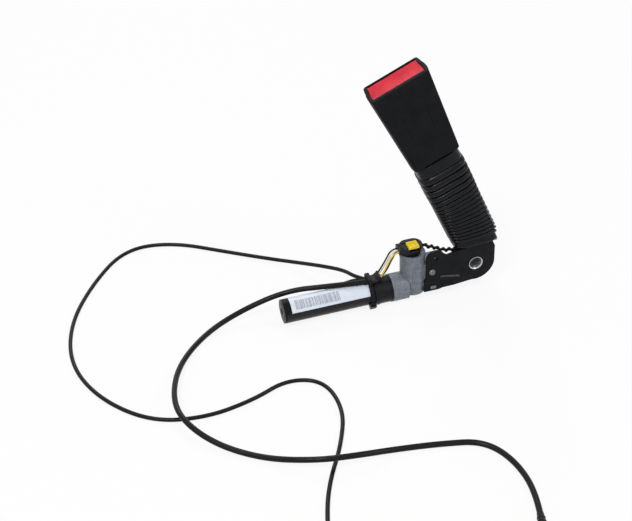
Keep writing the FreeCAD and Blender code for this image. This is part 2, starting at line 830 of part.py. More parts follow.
def boot_sections():
    """Levels of the boot: skirt, ridges that stand further apart near the top, smooth collar."""
    half_w = boot_half_w
    half_t = boot_half_t
    sections = [
        (-5.4, half_w - 5.0, half_t - 0.2, 6.0, boot_ridge_start - 38.0),
        (-0.4, half_w + 0.4, half_t + 0.2, 9.0, boot_ridge_start - 2.0),
    ]
    s = boot_ridge_start
    groups = [
        (boot_low_ridges, boot_low_pitch, boot_low_height),
        (boot_high_ridges, boot_high_pitch, boot_high_height),
    ]
    for count, pitch, height in groups:
        for i in range(count):
            sections.append((-0.4, half_w - 0.9, half_t - 0.6, 8.6, s))
            sections.append((-0.4, half_w - 0.9 + height, half_t - 0.6 + height, 9.2, s + 0.5 * pitch))
            s = s + pitch
    sections.append((-0.2, half_w - 0.9, half_t - 0.6, 8.6, s))
    sections.append((-0.1, half_w + 0.1, half_t, 7.5, s + 1.6))
    sections.append((0.0, half_w - 0.2, half_t - 0.2, 7.0, boot_top))
    return sections, s


def boot():
    """Corrugated boot with a smooth band at its foot and a smooth collar at its top."""
    sections, ridges_end = boot_sections()
    inner_w = boot_half_w - 2.3
    inner_t = boot_half_t - 2.1
    hollow = stack([
        (-5.6, inner_w - 4.4, inner_t, 1.0, boot_ridge_start - 40.0),
        (-1.9, inner_w - 1.2, inner_t, 4.0, boot_ridge_start - 12.0),
        (-0.4, inner_w, inner_t, 7.2, boot_ridge_start - 1.0),
        (-0.3, inner_w - 0.2, inner_t, 7.2, ridges_end - 3.0),
        (0.0, collar_inner_w, collar_inner_t, 5.4, ridges_end + 1.0),
        (0.0, collar_inner_w, collar_inner_t, 5.4, boot_top + 1.0),
    ])
    sleeve = on_stalk(stack(sections).cut(hollow))
    rear_cut = box(-80, 80, -60, 60, -60, boot_low_z)
    slope = Part.makePolygon([
        V(-80, -60, -60), V(-80, -3, -60), V(-80, -3, boot_low_z), V(-80, -12.5, boot_front_z),
        V(-80, -60, boot_front_z), V(-80, -60, -60),
    ])
    front_cut = Part.Face(slope).extrude(V(160, 0, 0))
    front_cut.rotate(V(0, 0, boot_front_z), V(0, 1, 0), -boot_hem_deg)
    sleeve = sleeve.cut(rear_cut).cut(front_cut)
    notch = box(-32, -9, -7.0, -3.7, boot_low_z - 3, boot_low_z + 4.8)
    return sleeve.cut(notch)


def buckle_half_width(s):
    return 0.5 * (buckle_width_low + (buckle_width_high - buckle_width_low) * (s - buckle_low) / buckle_length)


def buckle_case():
    """Both shells as one hollow case: outer taper, inner hollow, spigot for the boot and mouth window."""
    half_t = buckle_thickness / 2
    w0 = buckle_half_width(buckle_low)
    w1 = buckle_half_width(buckle_high)
    levels = [
        (0, w0 - 0.6, half_t - 0.6, buckle_bulge, buckle_corner_r, buckle_low),
        (0, w0 + 0.1, half_t, buckle_bulge, buckle_corner_r, buckle_low + 1.0),
        (0, w1 - 0.1, half_t, buckle_bulge, buckle_corner_r, buckle_high - 0.8),
        (0, w1 - 0.7, half_t - 0.6, buckle_bulge, buckle_corner_r, buckle_high),
    ]
    case = Part.makeLoft([barrel_wire(*level) for level in levels], True, True)
    inner_r = buckle_bulge + 1.4
    hollow = stack([
        (0, w0 - shell_t, half_t - shell_t, inner_r, buckle_low + shell_t),
        (0, w1 - shell_t, half_t - shell_t, inner_r, buckle_high - shell_t),
    ])
    spigot_w = collar_inner_w - air_gap
    spigot_t = collar_inner_t - air_gap
    low = buckle_low - spigot_length
    spigot = stack([(0, spigot_w, spigot_t, 5.1, low), (0, spigot_w, spigot_t, 5.1, buckle_low + 2.2)])
    throat = stack([
        (0, spigot_w - 1.9, spigot_t - 1.9, 3.4, low - 1.0),
        (0, spigot_w - 1.9, spigot_t - 1.9, 3.4, buckle_low + 4.0),
    ])
    case = case.cut(hollow).fuse(spigot).cut(throat)
    return case.cut(mouth_shape(0, buckle_high - 4, buckle_high + 3))


def mouth_shape(gap, low, high):
    """Window in the mouth with curved sides, made smaller all round by a gap."""
    half = window_half - gap
    shape = box(-half, half, window_front_y + gap, slot_high_y - gap, low, high)
    for side in (-1, 1):
        shape = shape.common(rod_z(window_side_r, low - 1, high + 1, side * (window_side_r - half), 0))
    return shape


def buckle_front_shell():
    """Front half with the raised plain panel, button spring seats and switch posts."""
    half = buckle_case().common(box(-40, 40, -20, 0, buckle_low - 20, buckle_high + 10))
    for w in button_spring_places():
        seat = box(w - 2.2, w + 2.2, -10.6, -0.4, spring_seat_s - 2.0, spring_seat_s)
        half = half.fuse(seat.common(shell_inside()))
    for w in (-7.0, 7.0):
        half = half.fuse(box(w - 1.5, w + 1.5, -11.0, switch_front_y, pivot_s - 6, pivot_s + 10))
    face_y = -buckle_thickness / 2
    panel = box(-panel_half_w, panel_half_w, face_y - 0.2, face_y + 0.3, panel_low, panel_high)
    inner_w = panel_half_w - 0.6
    inside = box(-inner_w, inner_w, face_y - 1, face_y + 1, panel_low + 0.6, panel_high - 0.6)
    half = half.cut(panel.cut(inside))
    return on_stalk(half.removeSplitter())


def button_spring_places():
    return [-button_spring_w, button_spring_w]


def shell_inside():
    half_t = buckle_thickness / 2 - 1.0
    return stack([
        (0, buckle_half_width(buckle_low) - 1.6, half_t, 3.5, buckle_low),
        (0, buckle_half_width(buckle_high) - 1.6, half_t, 3.5, buckle_high),
    ])


def buckle_rear_shell():
    """Rear half with pads that carry the steel channel."""
    half = buckle_case().common(box(-40, 40, 0, 20, buckle_low - 20, buckle_high + 10))
    channel_back = slot_high_y + channel_t
    for w in (-channel_half_w - 1.6, channel_half_w):
        half = half.fuse(box(w, w + 1.6, slot_high_y - 0.6, channel_back, pivot_s - 16, pivot_s + 40))
    pocket = box(-channel_half_w - fit_gap, channel_half_w + fit_gap, slot_high_y - fit_gap,
                 channel_back + fit_gap, channel_low_s - fit_gap, channel_high_s + 0.5)
    return on_stalk(half.cut(pocket).removeSplitter())


def buckle_channel():
    """Steel channel that carries the load: base behind the slot, two flanges, spring stops and rope eye."""
    channel_back = slot_high_y + channel_t
    base = box(-channel_half_w, channel_half_w, slot_high_y, channel_back, channel_low_s, channel_high_s)
    base = base.cut(box(-6.5, 6.5, slot_high_y - 1, channel_back + 1, pivot_s + 17.0, pivot_s + 26.5))
    for side in (-1, 1):
        x0 = min(side * channel_half_w, side * (channel_half_w - 2.0))
        flange = box(x0, x0 + 2.0, -4.5, slot_high_y + 0.1, pivot_s - 10.0, button_low_s - 5.0)
        flange = flange.cut(rod_x(pivot_r + 0.03, x0 - 1, x0 + 3, pivot_y, pivot_s))
        base = base.fuse(flange)
        x1 = min(side * 7.4, side * 12.0)
        stop = box(x1, x1 + 4.6, ejector_spring_y - 3.2, slot_high_y + 0.1, spring_stop_s - 2.0, spring_stop_s)
        base = base.fuse(stop)
    base = base.cut(rod_y(anchor_r + fit_gap, 5, 15, 0, anchor_s))
    return on_stalk(base.removeSplitter())


def rope_ferrule_upper():
    """Steel block pressed on the rope end and riveted to the channel."""
    block = box(-6, 6, -4.5, slot_high_y, anchor_s - 9.5, anchor_s + 4.0)
    block = block.fuse(rod_z(4.6, buckle_low - 4.6, anchor_s - 9.0, 0, 0))
    block = block.cut(rod_z(rope_r + 0.02, buckle_low - 8, rope_top_s + fit_gap, 0, 0))
    block = block.cut(rod_y(anchor_r + fit_gap, -8, 12, 0, anchor_s))
    return on_stalk(block.removeSplitter())


def rope_anchor_rivet():
    shank = rod_y(anchor_r, -4.6, slot_high_y + channel_t, 0, anchor_s)
    head = Part.makeCone(4.5, 3.8, 1.4, V(0, -4.5, anchor_s), V(0, -1, 0))
    return on_stalk(shank.fuse(head))


def latch():
    """Latch lever: hub on the pivot, arm and tooth that stands in the tongue slot."""
    arm_top = pivot_s + 28.0
    tip_y = slot_high_y - 1.0
    arm = box(-9, 9, -1.3, 1.0, pivot_s, arm_top)
    hub = rod_x(3.3, -9, 9, pivot_y, pivot_s)
    tooth = box(-5.8, 5.8, 0.9, tip_y, arm_top - 8.6, arm_top - 4.0)
    ramp = Part.Face(Part.makePolygon([
        V(-7, tip_y + 0.8, arm_top - 8.1), V(-7, tip_y + 0.8, arm_top - 3.0), V(-7, tip_y - 5.4, arm_top - 3.0),
        V(-7, tip_y - 5.4, arm_top - 4.0), V(-7, tip_y + 0.8, arm_top - 8.1),
    ])).extrude(V(14, 0, 0))
    tooth = tooth.cut(ramp)
    ears = box(-9, 9, -2.6, -1.2, arm_top - 3.0, arm_top)
    body = arm.fuse(hub).fuse(tooth).fuse(ears)
    body = body.cut(rod_x(pivot_r + fit_gap, -12, 12, pivot_y, pivot_s))
    body = body.cut(box(-3.0, 3.0, -3, 1.2, pivot_s + 5.5, pivot_s + 14.5))
    return on_stalk(body.removeSplitter())


def latch_pin():
    pin = rod_x(pivot_r, -16.0, 16.0, pivot_y, pivot_s)
    pin = pin.fuse(rod_x(2.7, 15.05, 16.4, pivot_y, pivot_s))
    pin = pin.fuse(rod_x(2.7, -16.4, -15.05, pivot_y, pivot_s))
    return on_stalk(pin)


def latch_springs():
    """Two torsion springs beside the hub."""
    coils = []
    for x0 in (-12.7, 9.5):
        spring = coil(2.5, 3.2, 2.75, spring_wire_r, V(x0, pivot_y, pivot_s), V(1, 0, 0))
        coils.append(on_stalk(spring))
    return Part.makeCompound(coils)


def release_button():
    """Press button with a dished face, skirt and two legs that lift the latch."""
    top = buckle_high - 1.0
    low = button_low_s
    back_y = slot_low_y - 0.1
    lip_s = top - lip_t
    face = mouth_shape(air_gap, top - 5.0, top)
    face = face.cut(box(-40, 40, lip_y, 20, lip_s, top + 1))
    face = face.cut(box(-40, 40, back_y, 20, top - 6.0, lip_s))
    skirt = box(-20.6, 20.6, window_front_y + air_gap, back_y, low, top - 4.9)
    body = face.fuse(skirt)
    body = body.cut(Part.makeCylinder(70.0, 60.0, V(-30, -0.8, top + 70.0 - 1.4), V(1, 0, 0)))
    body = body.cut(box(-12.0, 12.0, -6.5, back_y - 2.2, low - 1, top - 5.0))
    for side in (-1, 1):
        x0 = min(side * 9.8, side * 12.2)
        body = body.fuse(box(x0, x0 + 2.4, -3.0, 2.2, pivot_s + 14.0, low + 2.0))
        body = body.cut(rod_z(2.6, low - 1, low + 6.0, side * button_spring_w, button_spring_y))
    return on_stalk(body.removeSplitter())


def button_springs():
    """Two return springs between the shell seats and the button."""
    base = spring_seat_s + 0.4
    height = buckle_high - 13.0 - base
    springs = []
    for w in button_spring_places():
        spring = coil(6.0, height, 1.9, spring_wire_r, V(w, button_spring_y, base), V(0, 0, 1))
        springs.append(on_stalk(spring))
    return Part.makeCompound(springs)


def ejector():
    """Sprung slider that pushes the tongue out."""
    front_y = slot_low_y - 1.7
    back_y = slot_high_y - 0.15
    low = pivot_s + 5.0
    body = box(-12.4, 12.4, front_y, back_y, low, low + 8.0)
    body = body.fuse(box(-8.0, 8.0, front_y, back_y, low + 7.0, low + 13.6))
    body = body.cut(box(-6.2, 6.2, 0, 12, low - 1.0, low + 3.0))
    for side in (-1, 1):
        body = body.cut(rod_z(2.1, low - 1.0, low + 4.0, side * ejector_spring_w, ejector_spring_y))
    return on_stalk(body.removeSplitter())


def ejector_springs():
    base = spring_stop_s + 0.4
    height = pivot_s + 8.4 - base
    springs = []
    for side in (-1, 1):
        place = V(side * ejector_spring_w, ejector_spring_y, base)
        springs.append(on_stalk(coil(7.0, height, 1.6, spring_wire_r, place, V(0, 0, 1))))
    return Part.makeCompound(springs)


def buckle_switch():
    """Small switch that tells whether a tongue is held."""
    low = pivot_s - 8.0
    body = box(-10, 10, switch_front_y + fit_gap, -5.6, low, low + 19.0)
    body = body.fuse(box(-3, 3, -5.8, -4.6, low + 14.0, low + 17.0))
    for w in (-7.2, 7.2):
        body = body.cut(rod_y(1.2, -11, -4, w, low + 16.0))
    return on_stalk(body.removeSplitter())


def floor_points(route, radius):
    """Route points: across, depth and height of the cord's underside above the floor."""
    points = []
    for x, y, lift in route:
        points.append(V(x, y, floor_z + radius + lift))
    return points


def on_tube():
    """Height of the top of the tube above the floor."""
    return tube_z + tube_r - floor_z


def thin_route():
    return [
        (-95.2, 2.5, on_tube() + 0.35), (-103.0, 9.6, on_tube() + 0.1), (-108.0, 25.5, 20.0),
        (-121.0, 46.0, 13.5), (-137.0, 68.0, 6.0), (-157.0, 88.0, 1.2), (-190.5, 113.3, 0), (-238.0, 147.5, 0),
        (-282.0, 151.0, 0), (-319.0, 108.0, 0), (-346.0, 58.0, 0), (-354.0, 5.0, 0), (-338.5, -44.0, 0),
        (-304.5, -84.0, 0), (-262.0, -94.5, 0), (-221.0, -87.0, 0), (-190.0, -73.0, 0),
        (-161.5, -84.0, 0), (-156.8, -122.0, 0), (-172.0, -160.0, 0), (-190.5, -191.0, 0),
        (-203.0, -222.0, 0), (-210.5, -252.0, 0),
    ]


def hump():
    """Height at which the thick cord crosses the thin one."""
    return 2 * thin_cord_r + 2 * thick_cord_r


def thick_route():
    top = hump()
    return [
        (-94.4, -1.7, on_tube() + 0.25), (-127.7, 3.8, on_tube() + 0.1), (-162.9, 14.9, 19.5),
        (-202.2, 17.4, 7.5), (-238.0, 6.6, 0.0), (-268.4, -26.9, 1.5), (-282.9, -70.2, top),
        (-281.9, -100.3, top),
        (-262.4, -128.7, 2.0), (-230.9, -154.0, 0.0), (-196.2, -176.5, top), (-166.9, -181.4, top),
        (-131.8, -177.6, 0.0), (-99.3, -183.2, 0.0), (-67.7, -191.3, 0.0), (-53.6, -218.7, 0.0),
        (-52.9, -256.5, 0.0), (-64.5, -291.0, 0.0),
    ]


def thin_cord():
    return round_cord("thin_cord", floor_points(thin_route(), thin_cord_r), thin_cord_r)


def thick_cord():
    return round_cord("thick_cord", floor_points(thick_route(), thick_cord_r), thick_cord_r)


def plug_body(size, wall):
    """Shell of a cord plug in its own frame: it grows along +X from the cord end."""
    length, width, height = size
    shell = box(0, length, -width / 2, width / 2, -height / 2, height / 2)
    shell = shell.cut(box(length * 0.45, length + 1, -width / 2 + wall, width / 2 - wall,
                          -height / 2 + wall, height / 2 - wall))
    for side in (-1, 1):
        rib = box(length * 0.2, length * 0.8, side * width / 2 - 0.5, side * width / 2 + 0.5, -0.8, 0.8)
        shell = shell.fuse(rib)
    return shell.removeSplitter()


def plug_insert(size, wall, holes, hole_r):
    """Contact carrier inside a plug shell, with a row of contact holes."""
    length, width, height = size
    side = width / 2 - wall - fit_gap
    half = height / 2 - wall - fit_gap
    block = box(length * 0.46, length - 3.0, -side, side, -half, half)
    for y in holes:
        block = block.cut(rod_x(hole_r, length * 0.6, length, y, 0))
    return block


def at_cord_end(shape, route, radius, size):
    """Turn a plug so that it carries on in line with the last run of its cord, its underside on the floor."""
    points = floor_points(route, radius)
    end = points[-1]
    before = points[-2]
    angle = math.degrees(math.atan2(end.y - before.y, end.x - before.x))
    placed = shape.copy()
    base = V(end.x, end.y, floor_z + size[2] / 2)
    placed.Placement = FreeCAD.Placement(base, FreeCAD.Rotation(V(0, 0, 1), angle))
    return placed


def thin_plug():
    shell = plug_body(thin_plug_size, thin_plug_wall)
    return at_cord_end(shell, thin_route(), thin_cord_r, thin_plug_size)


def thin_plug_insert():
    block = plug_insert(thin_plug_size, thin_plug_wall, (-2.2, 2.2), 0.9)
    return at_cord_end(block, thin_route(), thin_cord_r, thin_plug_size)


def thick_plug():
    shell = plug_body(thick_plug_size, thick_plug_wall)
    return at_cord_end(shell, thick_route(), thick_cord_r, thick_plug_size)


def thick_plug_insert():
    block = plug_insert(thick_plug_size, thick_plug_wall, (-2.6, 0, 2.6), 0.8)
    return at_cord_end(block, thick_route(), thick_cord_r, thick_plug_size)


builders = [
    bracket_front, bracket_rear, bracket_spacer, mounting_bush, cable_guide, rope_wrap, rope_tube_run,
    rope_stalk_run, bracket_rivet, housing, rope_seal, piston_tube, tube_end_plug, tube_sleeve, cable_tie,
    piston, lock_balls, piston_seal, rope_end_ferrule, gas_generator, generator_clip, igniter,
    squib_connector, connector_lock, lead_black, lead_yellow, lead_white, switch_lead, switch_lead_stalk,
    boot, buckle_front_shell, buckle_rear_shell, buckle_channel, rope_ferrule_upper, rope_anchor_rivet,
    latch, latch_pin, latch_springs, release_button, button_springs, ejector, ejector_springs,
    buckle_switch, thin_cord, thick_cord, thin_plug, thin_plug_insert, thick_plug, thick_plug_insert,
]

for build in builders:
    save(build.__name__, build())
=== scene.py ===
import math

import bmesh
import bpy
from mathutils import Matrix, Vector, noise


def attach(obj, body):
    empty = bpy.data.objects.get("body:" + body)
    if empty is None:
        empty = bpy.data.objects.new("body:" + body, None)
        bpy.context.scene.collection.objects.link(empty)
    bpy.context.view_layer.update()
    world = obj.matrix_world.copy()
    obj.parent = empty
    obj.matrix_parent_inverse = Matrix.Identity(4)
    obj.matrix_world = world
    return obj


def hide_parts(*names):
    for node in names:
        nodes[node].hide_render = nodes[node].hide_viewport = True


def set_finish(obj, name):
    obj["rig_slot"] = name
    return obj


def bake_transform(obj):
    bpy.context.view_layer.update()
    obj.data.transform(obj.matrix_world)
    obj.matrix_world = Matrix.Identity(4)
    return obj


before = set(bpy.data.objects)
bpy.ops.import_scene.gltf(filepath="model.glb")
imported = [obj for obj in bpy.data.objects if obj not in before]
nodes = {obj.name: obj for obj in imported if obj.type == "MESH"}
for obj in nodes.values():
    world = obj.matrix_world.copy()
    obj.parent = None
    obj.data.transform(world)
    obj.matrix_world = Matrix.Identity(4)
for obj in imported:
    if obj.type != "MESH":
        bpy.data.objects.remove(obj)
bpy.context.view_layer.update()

MM = 0.001

# The same sizes as in the CAD source, millimetres.
LEAN = math.radians(23.5)
ROPE_WRAP_R = 11.0
ROPE_R = 2.5
TUBE_Z = -15.5
TUBE_R = 10.5
TUBE_TOP_Z = TUBE_Z + TUBE_R
TOWER_X = -54.3
TOWER_R = 10.9
BUSH_BORE_R = 5.2
FLOOR_Z = -27.9
BOOT_LOW_Z = 14.8

# Distances along the leaning rope axis.
BOOT_TOP = 118.2
BUCKLE_LOW = 118.6
BUCKLE_HIGH = 199.6
BUCKLE_HALF_T = 12.5


def at(x, y, z):
    """A point given in millimetres, in metres."""
    return Vector((x, y, z)) * MM


def stalk(across, depth, along):
    """A point given across, in depth and along the leaning rope axis, in metres."""
    x = (ROPE_WRAP_R + across) * math.cos(LEAN) - along * math.sin(LEAN)
    z = (ROPE_WRAP_R + across) * math.sin(LEAN) + along * math.cos(LEAN)
    return at(x, depth, z)


def off_stalk(point):
    """Across, depth and along the leaning rope axis of a point, in mm."""
    x, y, z = point / MM
    across = x * math.cos(LEAN) + z * math.sin(LEAN) - ROPE_WRAP_R
    return across, y, z * math.cos(LEAN) - x * math.sin(LEAN)


def smooth(value, low, high):
    """0 below low, 1 above high, and a soft step between."""
    t = min(1.0, max(0.0, (value - low) / (high - low)))
    return t * t * (3 - 2 * t)


def add_object(name, data):
    obj = bpy.data.objects.new(name, data)
    bpy.context.scene.collection.objects.link(obj)
    return obj


def evaluated_mesh(obj):
    """A new mesh of an object as it is shown, with its modifiers or its thickness."""
    bpy.context.view_layer.update()
    return bpy.data.meshes.new_from_object(obj.evaluated_get(bpy.context.evaluated_depsgraph_get()))


# ---- shader parts ----

def add(tree, kind, **values):
    node = tree.nodes.new(kind)
    for name, value in values.items():
        setattr(node, name, value)
    return node


def noise_field(tree, place, size_mm, detail=3.0):
    """Noise with features of about size_mm."""
    field = add(tree, "ShaderNodeTexNoise")
    field.inputs["Scale"].default_value = 1000.0 / size_mm
    field.inputs["Detail"].default_value = detail
    tree.links.new(place.outputs["Object"], field.inputs["Vector"])
    return field.outputs["Fac"]


def spread(tree, source, low, high, start=0.35, end=0.65):
    """A value mapped from start..end to low..high."""
    ranged = add(tree, "ShaderNodeMapRange")
    ranged.inputs["From Min"].default_value = start
    ranged.inputs["From Max"].default_value = end
    ranged.inputs["To Min"].default_value = low
    ranged.inputs["To Max"].default_value = high
    tree.links.new(source, ranged.inputs["Value"])
    return ranged.outputs["Result"]


def blend_colour(tree, factor, first, second):
    """A mix of two colours, each given as numbers or as another node's output."""
    mix = add(tree, "ShaderNodeMix", data_type="RGBA")
    tree.links.new(factor, mix.inputs["Factor"])
    for socket, colour in ((mix.inputs["A"], first), (mix.inputs["B"], second)):
        if isinstance(colour, tuple):
            socket.default_value = (*colour, 1)
        else:
            tree.links.new(colour, socket)
    return mix.outputs["Result"]


def edge_mask(tree, radius_mm):
    """0 on flat surface, towards 1 along edges; also gives the rounded normal."""
    bevel = add(tree, "ShaderNodeBevel", samples=4)
    bevel.inputs["Radius"].default_value = radius_mm * MM
    geometry = add(tree, "ShaderNodeNewGeometry")
    dot = add(tree, "ShaderNodeVectorMath", operation="DOT_PRODUCT")
    tree.links.new(bevel.outputs["Normal"], dot.inputs[0])
    tree.links.new(geometry.outputs["Normal"], dot.inputs[1])
    return spread(tree, dot.outputs["Value"], 1.0, 0.0, 0.80, 0.995), bevel.outputs["Normal"]


def surface(name, dark, light, patch, rough, grain, grain_size, metallic=0.0, specular=0.5,
            coat=0.0, coat_rough=0.2, edge_wear_and_highlight=None, round_mm=0.3):
    """Colour that drifts between two tones, uneven roughness, fine bump, rounded edges, and lighter
    edges that are partly wear and partly painted highlight.

    patch, grain (height) and grain_size are in mm.
    """
    material = bpy.data.materials.new(name)
    material.use_nodes = True
    tree = material.node_tree
    link = tree.links.new
    shader = tree.nodes["Principled BSDF"]
    shader.inputs["Metallic"].default_value = metallic
    shader.inputs["Specular IOR Level"].default_value = specular
    shader.inputs["Coat Weight"].default_value = coat
    shader.inputs["Coat Roughness"].default_value = coat_rough
    place = add(tree, "ShaderNodeTexCoord")
    drift = noise_field(tree, place, patch, 5.0)
    colour = blend_colour(tree, spread(tree, drift, 0.0, 1.0), dark, light)
    normal = None
    if round_mm:
        mask, normal = edge_mask(tree, round_mm)
        # Lighter colour in broken patches along edges: edge wear, and on the die casting a painted
        # highlight.
        if edge_wear_and_highlight:
            edge_wear_and_highlight_mask = add(tree, "ShaderNodeMath", operation="MULTIPLY")
            edge_patches = spread(tree, noise_field(tree, place, 2.5), 0.0, 1.0, 0.42, 0.62)
            link(mask, edge_wear_and_highlight_mask.inputs[0])
            link(edge_patches, edge_wear_and_highlight_mask.inputs[1])
            colour = blend_colour(tree, edge_wear_and_highlight_mask.outputs[0], colour, edge_wear_and_highlight)
    link(colour, shader.inputs["Base Color"])
    roughness = spread(tree, noise_field(tree, place, patch * 0.4), *rough)
    link(roughness, shader.inputs["Roughness"])
    bump = add(tree, "ShaderNodeBump")
    bump.inputs["Strength"].default_value = 1.0
    bump.inputs["Distance"].default_value = grain * MM
    link(noise_field(tree, place, grain_size, 2.0), bump.inputs["Height"])
    if normal:
        link(normal, bump.inputs["Normal"])
    link(bump.outputs["Normal"], shader.inputs["Normal"])
    return material


# ---- materials ----

def make_bush_material():
    """Bright turned steel, with a rough speckled finish inside the bore."""
    material = surface("bush_steel", (0.42, 0.42, 0.44), (0.58, 0.58, 0.60), patch=3,
                       rough=(0.22, 0.36), grain=0.012, grain_size=0.3, metallic=1.0, round_mm=0.25)
    tree = material.node_tree
    link = tree.links.new
    shader = tree.nodes["Principled BSDF"]
    place = add(tree, "ShaderNodeTexCoord")
    flat = add(tree, "ShaderNodeVectorMath", operation="MULTIPLY")
    flat.inputs[1].default_value = (1, 0, 1)
    link(place.outputs["Object"], flat.inputs[0])
    reach = add(tree, "ShaderNodeVectorMath", operation="LENGTH")
    link(flat.outputs["Vector"], reach.inputs[0])
    outside = spread(tree, reach.outputs["Value"], 0.0, 1.0,
                     (BUSH_BORE_R + 0.04) * MM, (BUSH_BORE_R + 0.14) * MM)
    speckle = spread(tree, noise_field(tree, place, 0.9, 4.0), 0.0, 1.0, 0.42, 0.60)
    rough_colour = blend_colour(tree, speckle, (0.045, 0.046, 0.054), (0.30, 0.31, 0.34))
    keep_metal = spread(tree, outside, 0.15, 1.0, 0.0, 1.0)
    link(keep_metal, shader.inputs["Metallic"])
    bright = shader.inputs["Base Color"].links[0].from_socket
    colour = blend_colour(tree, outside, rough_colour, bright)
    link(colour, shader.inputs["Base Color"])
    link(spread(tree, outside, 0.62, 0.28, 0.0, 1.0), shader.inputs["Roughness"])
    return material


def make_coats():
    """Black coats of the bracket and of the tube."""
    return {
        "bracket": surface("bracket_coat", (0.0050, 0.0053, 0.0068), (0.0088, 0.0092, 0.0115),
                           patch=7, rough=(0.46, 0.62), grain=0.05, grain_size=0.7, specular=0.11,
                           edge_wear_and_highlight=(0.030, 0.031, 0.037), round_mm=0.5),
        "tube": surface("tube_coat", (0.0030, 0.0030, 0.0040), (0.0055, 0.0055, 0.0070),
                        patch=12, rough=(0.30, 0.42), grain=0.01, grain_size=0.6, specular=0.12),
    }


def make_metals():
    return {
        "plated": surface("plated_steel", (0.50, 0.50, 0.52), (0.66, 0.66, 0.68),
                          patch=3, rough=(0.26, 0.42), grain=0.015, grain_size=0.3,
                          metallic=1.0, edge_wear_and_highlight=(0.8, 0.8, 0.82)),
        "bush": make_bush_material(),
        "rivet": surface("rivet_steel", (0.13, 0.128, 0.126), (0.24, 0.235, 0.23),
                         patch=2.0, rough=(0.42, 0.6), grain=0.05, grain_size=0.4,
                         metallic=0.6, edge_wear_and_highlight=(0.34, 0.34, 0.34), round_mm=0.4),
        # The light edge colour of the die casting is a painted highlight along its edges.
        "cast": surface("die_cast", (0.150, 0.164, 0.194), (0.215, 0.235, 0.275),
                        patch=3, rough=(0.40, 0.60), grain=0.14, grain_size=0.8,
                        metallic=0.30, specular=0.4, edge_wear_and_highlight=(0.36, 0.40, 0.46), round_mm=0.5),
        "rope": surface("rope_wire", (0.28, 0.28, 0.29), (0.46, 0.46, 0.47),
                        patch=2, rough=(0.3, 0.45), grain=0.02, grain_size=0.4,
                        metallic=1.0, round_mm=0.0),
        "spring": surface("spring_wire", (0.32, 0.32, 0.34), (0.5, 0.5, 0.52),
                          patch=2, rough=(0.25, 0.4), grain=0.01, grain_size=0.3,
                          metallic=1.0, round_mm=0.0),
        "brass": surface("contact_brass", (0.55, 0.40, 0.16), (0.72, 0.53, 0.25),
                         patch=1.5, rough=(0.25, 0.4), grain=0.01, grain_size=0.3,
                         metallic=1.0, round_mm=0.1),
    }


def make_plastics():
    return {
        "shell": surface("buckle_plastic", (0.0048, 0.0052, 0.0068), (0.0078, 0.0082, 0.0105),
                         patch=14, rough=(0.5, 0.62), grain=0.03, grain_size=0.35,
                         specular=0.09, edge_wear_and_highlight=(0.018, 0.021, 0.028), round_mm=0.7),
        "black": surface("moulded_black", (0.0045, 0.0045, 0.0060), (0.0085, 0.0088, 0.0110),
                         patch=4, rough=(0.30, 0.44), grain=0.02, grain_size=0.4,
                         specular=0.14, edge_wear_and_highlight=(0.022, 0.022, 0.026)),
        "connector": surface("connector_black", (0.0055, 0.0062, 0.0095),
                             (0.0105, 0.0120, 0.0175),
                             patch=3, rough=(0.20, 0.34), grain=0.02, grain_size=0.5,
                             specular=0.2, edge_wear_and_highlight=(0.05, 0.058, 0.075), round_mm=0.35),
        "yellow": surface("moulded_yellow", (0.76, 0.53, 0.002), (0.88, 0.66, 0.004),
                          patch=3, rough=(0.32, 0.45), grain=0.02, grain_size=0.4,
                          specular=0.35, edge_wear_and_highlight=(0.92, 0.80, 0.10), round_mm=0.35),
        "red": surface("button_red", (0.52, 0.018, 0.034), (0.72, 0.034, 0.056),
                       patch=9, rough=(0.34, 0.48), grain=0.02, grain_size=0.9,
                       specular=0.12, coat=0.04, coat_rough=0.25, round_mm=0.5),
    }


def lead_sheath(name, dark, light, rough, specular):
    return surface(name, dark, light, patch=5, rough=rough, grain=0.01, grain_size=0.5,
                   specular=specular, round_mm=0.0)


def make_rubbers():
    return {
        "boot": surface("boot_rubber", (0.0026, 0.0029, 0.0046), (0.0052, 0.0057, 0.0086),
                        patch=5, rough=(0.22, 0.36), grain=0.04, grain_size=0.7,
                        specular=0.17, round_mm=0.0),
        "sleeve": surface("sleeve_rubber", (0.0035, 0.0035, 0.0045), (0.0080, 0.0080, 0.0098),
                          patch=3, rough=(0.26, 0.42), grain=0.06, grain_size=0.7,
                          specular=0.18),
        "cord": surface("cord_sheath", (0.0032, 0.0032, 0.0040), (0.0060, 0.0060, 0.0072),
                        patch=18, rough=(0.26, 0.40), grain=0.012, grain_size=0.8,
                        specular=0.17, round_mm=0.0),
        "lead_black": lead_sheath("lead_black_sheath", (0.0055, 0.0055, 0.0065),
                                  (0.010, 0.010, 0.012), (0.3, 0.45), 0.3),
        "lead_yellow": lead_sheath("lead_yellow_sheath", (0.66, 0.47, 0.05), (0.78, 0.60, 0.10),
                                   (0.35, 0.5), 0.35),
        "lead_white": lead_sheath("lead_white_sheath", (0.70, 0.68, 0.58), (0.82, 0.79, 0.70),
                                  (0.35, 0.5), 0.35),
    }


def make_label_prints():
    return {
        "paper": surface("label_white", (0.72, 0.79, 0.89), (0.80, 0.86, 0.94),
                         patch=16, rough=(0.3, 0.42), grain=0.01, grain_size=1.5,
                         specular=0.3, round_mm=0.0),
        "ink": surface("label_black", (0.0050, 0.0052, 0.0070), (0.0085, 0.0088, 0.0110),
                       patch=12, rough=(0.28, 0.4), grain=0.01, grain_size=1.5,
                       specular=0.25, round_mm=0.0),
        "bars": surface("label_grey_print", (0.27, 0.30, 0.36), (0.42, 0.46, 0.53),
                        patch=3, rough=(0.35, 0.5), grain=0.005, grain_size=1.0,
                        specular=0.3, round_mm=0.0),
    }


materials = {**make_coats(), **make_metals(), **make_plastics(), **make_rubbers(),
             **make_label_prints()}

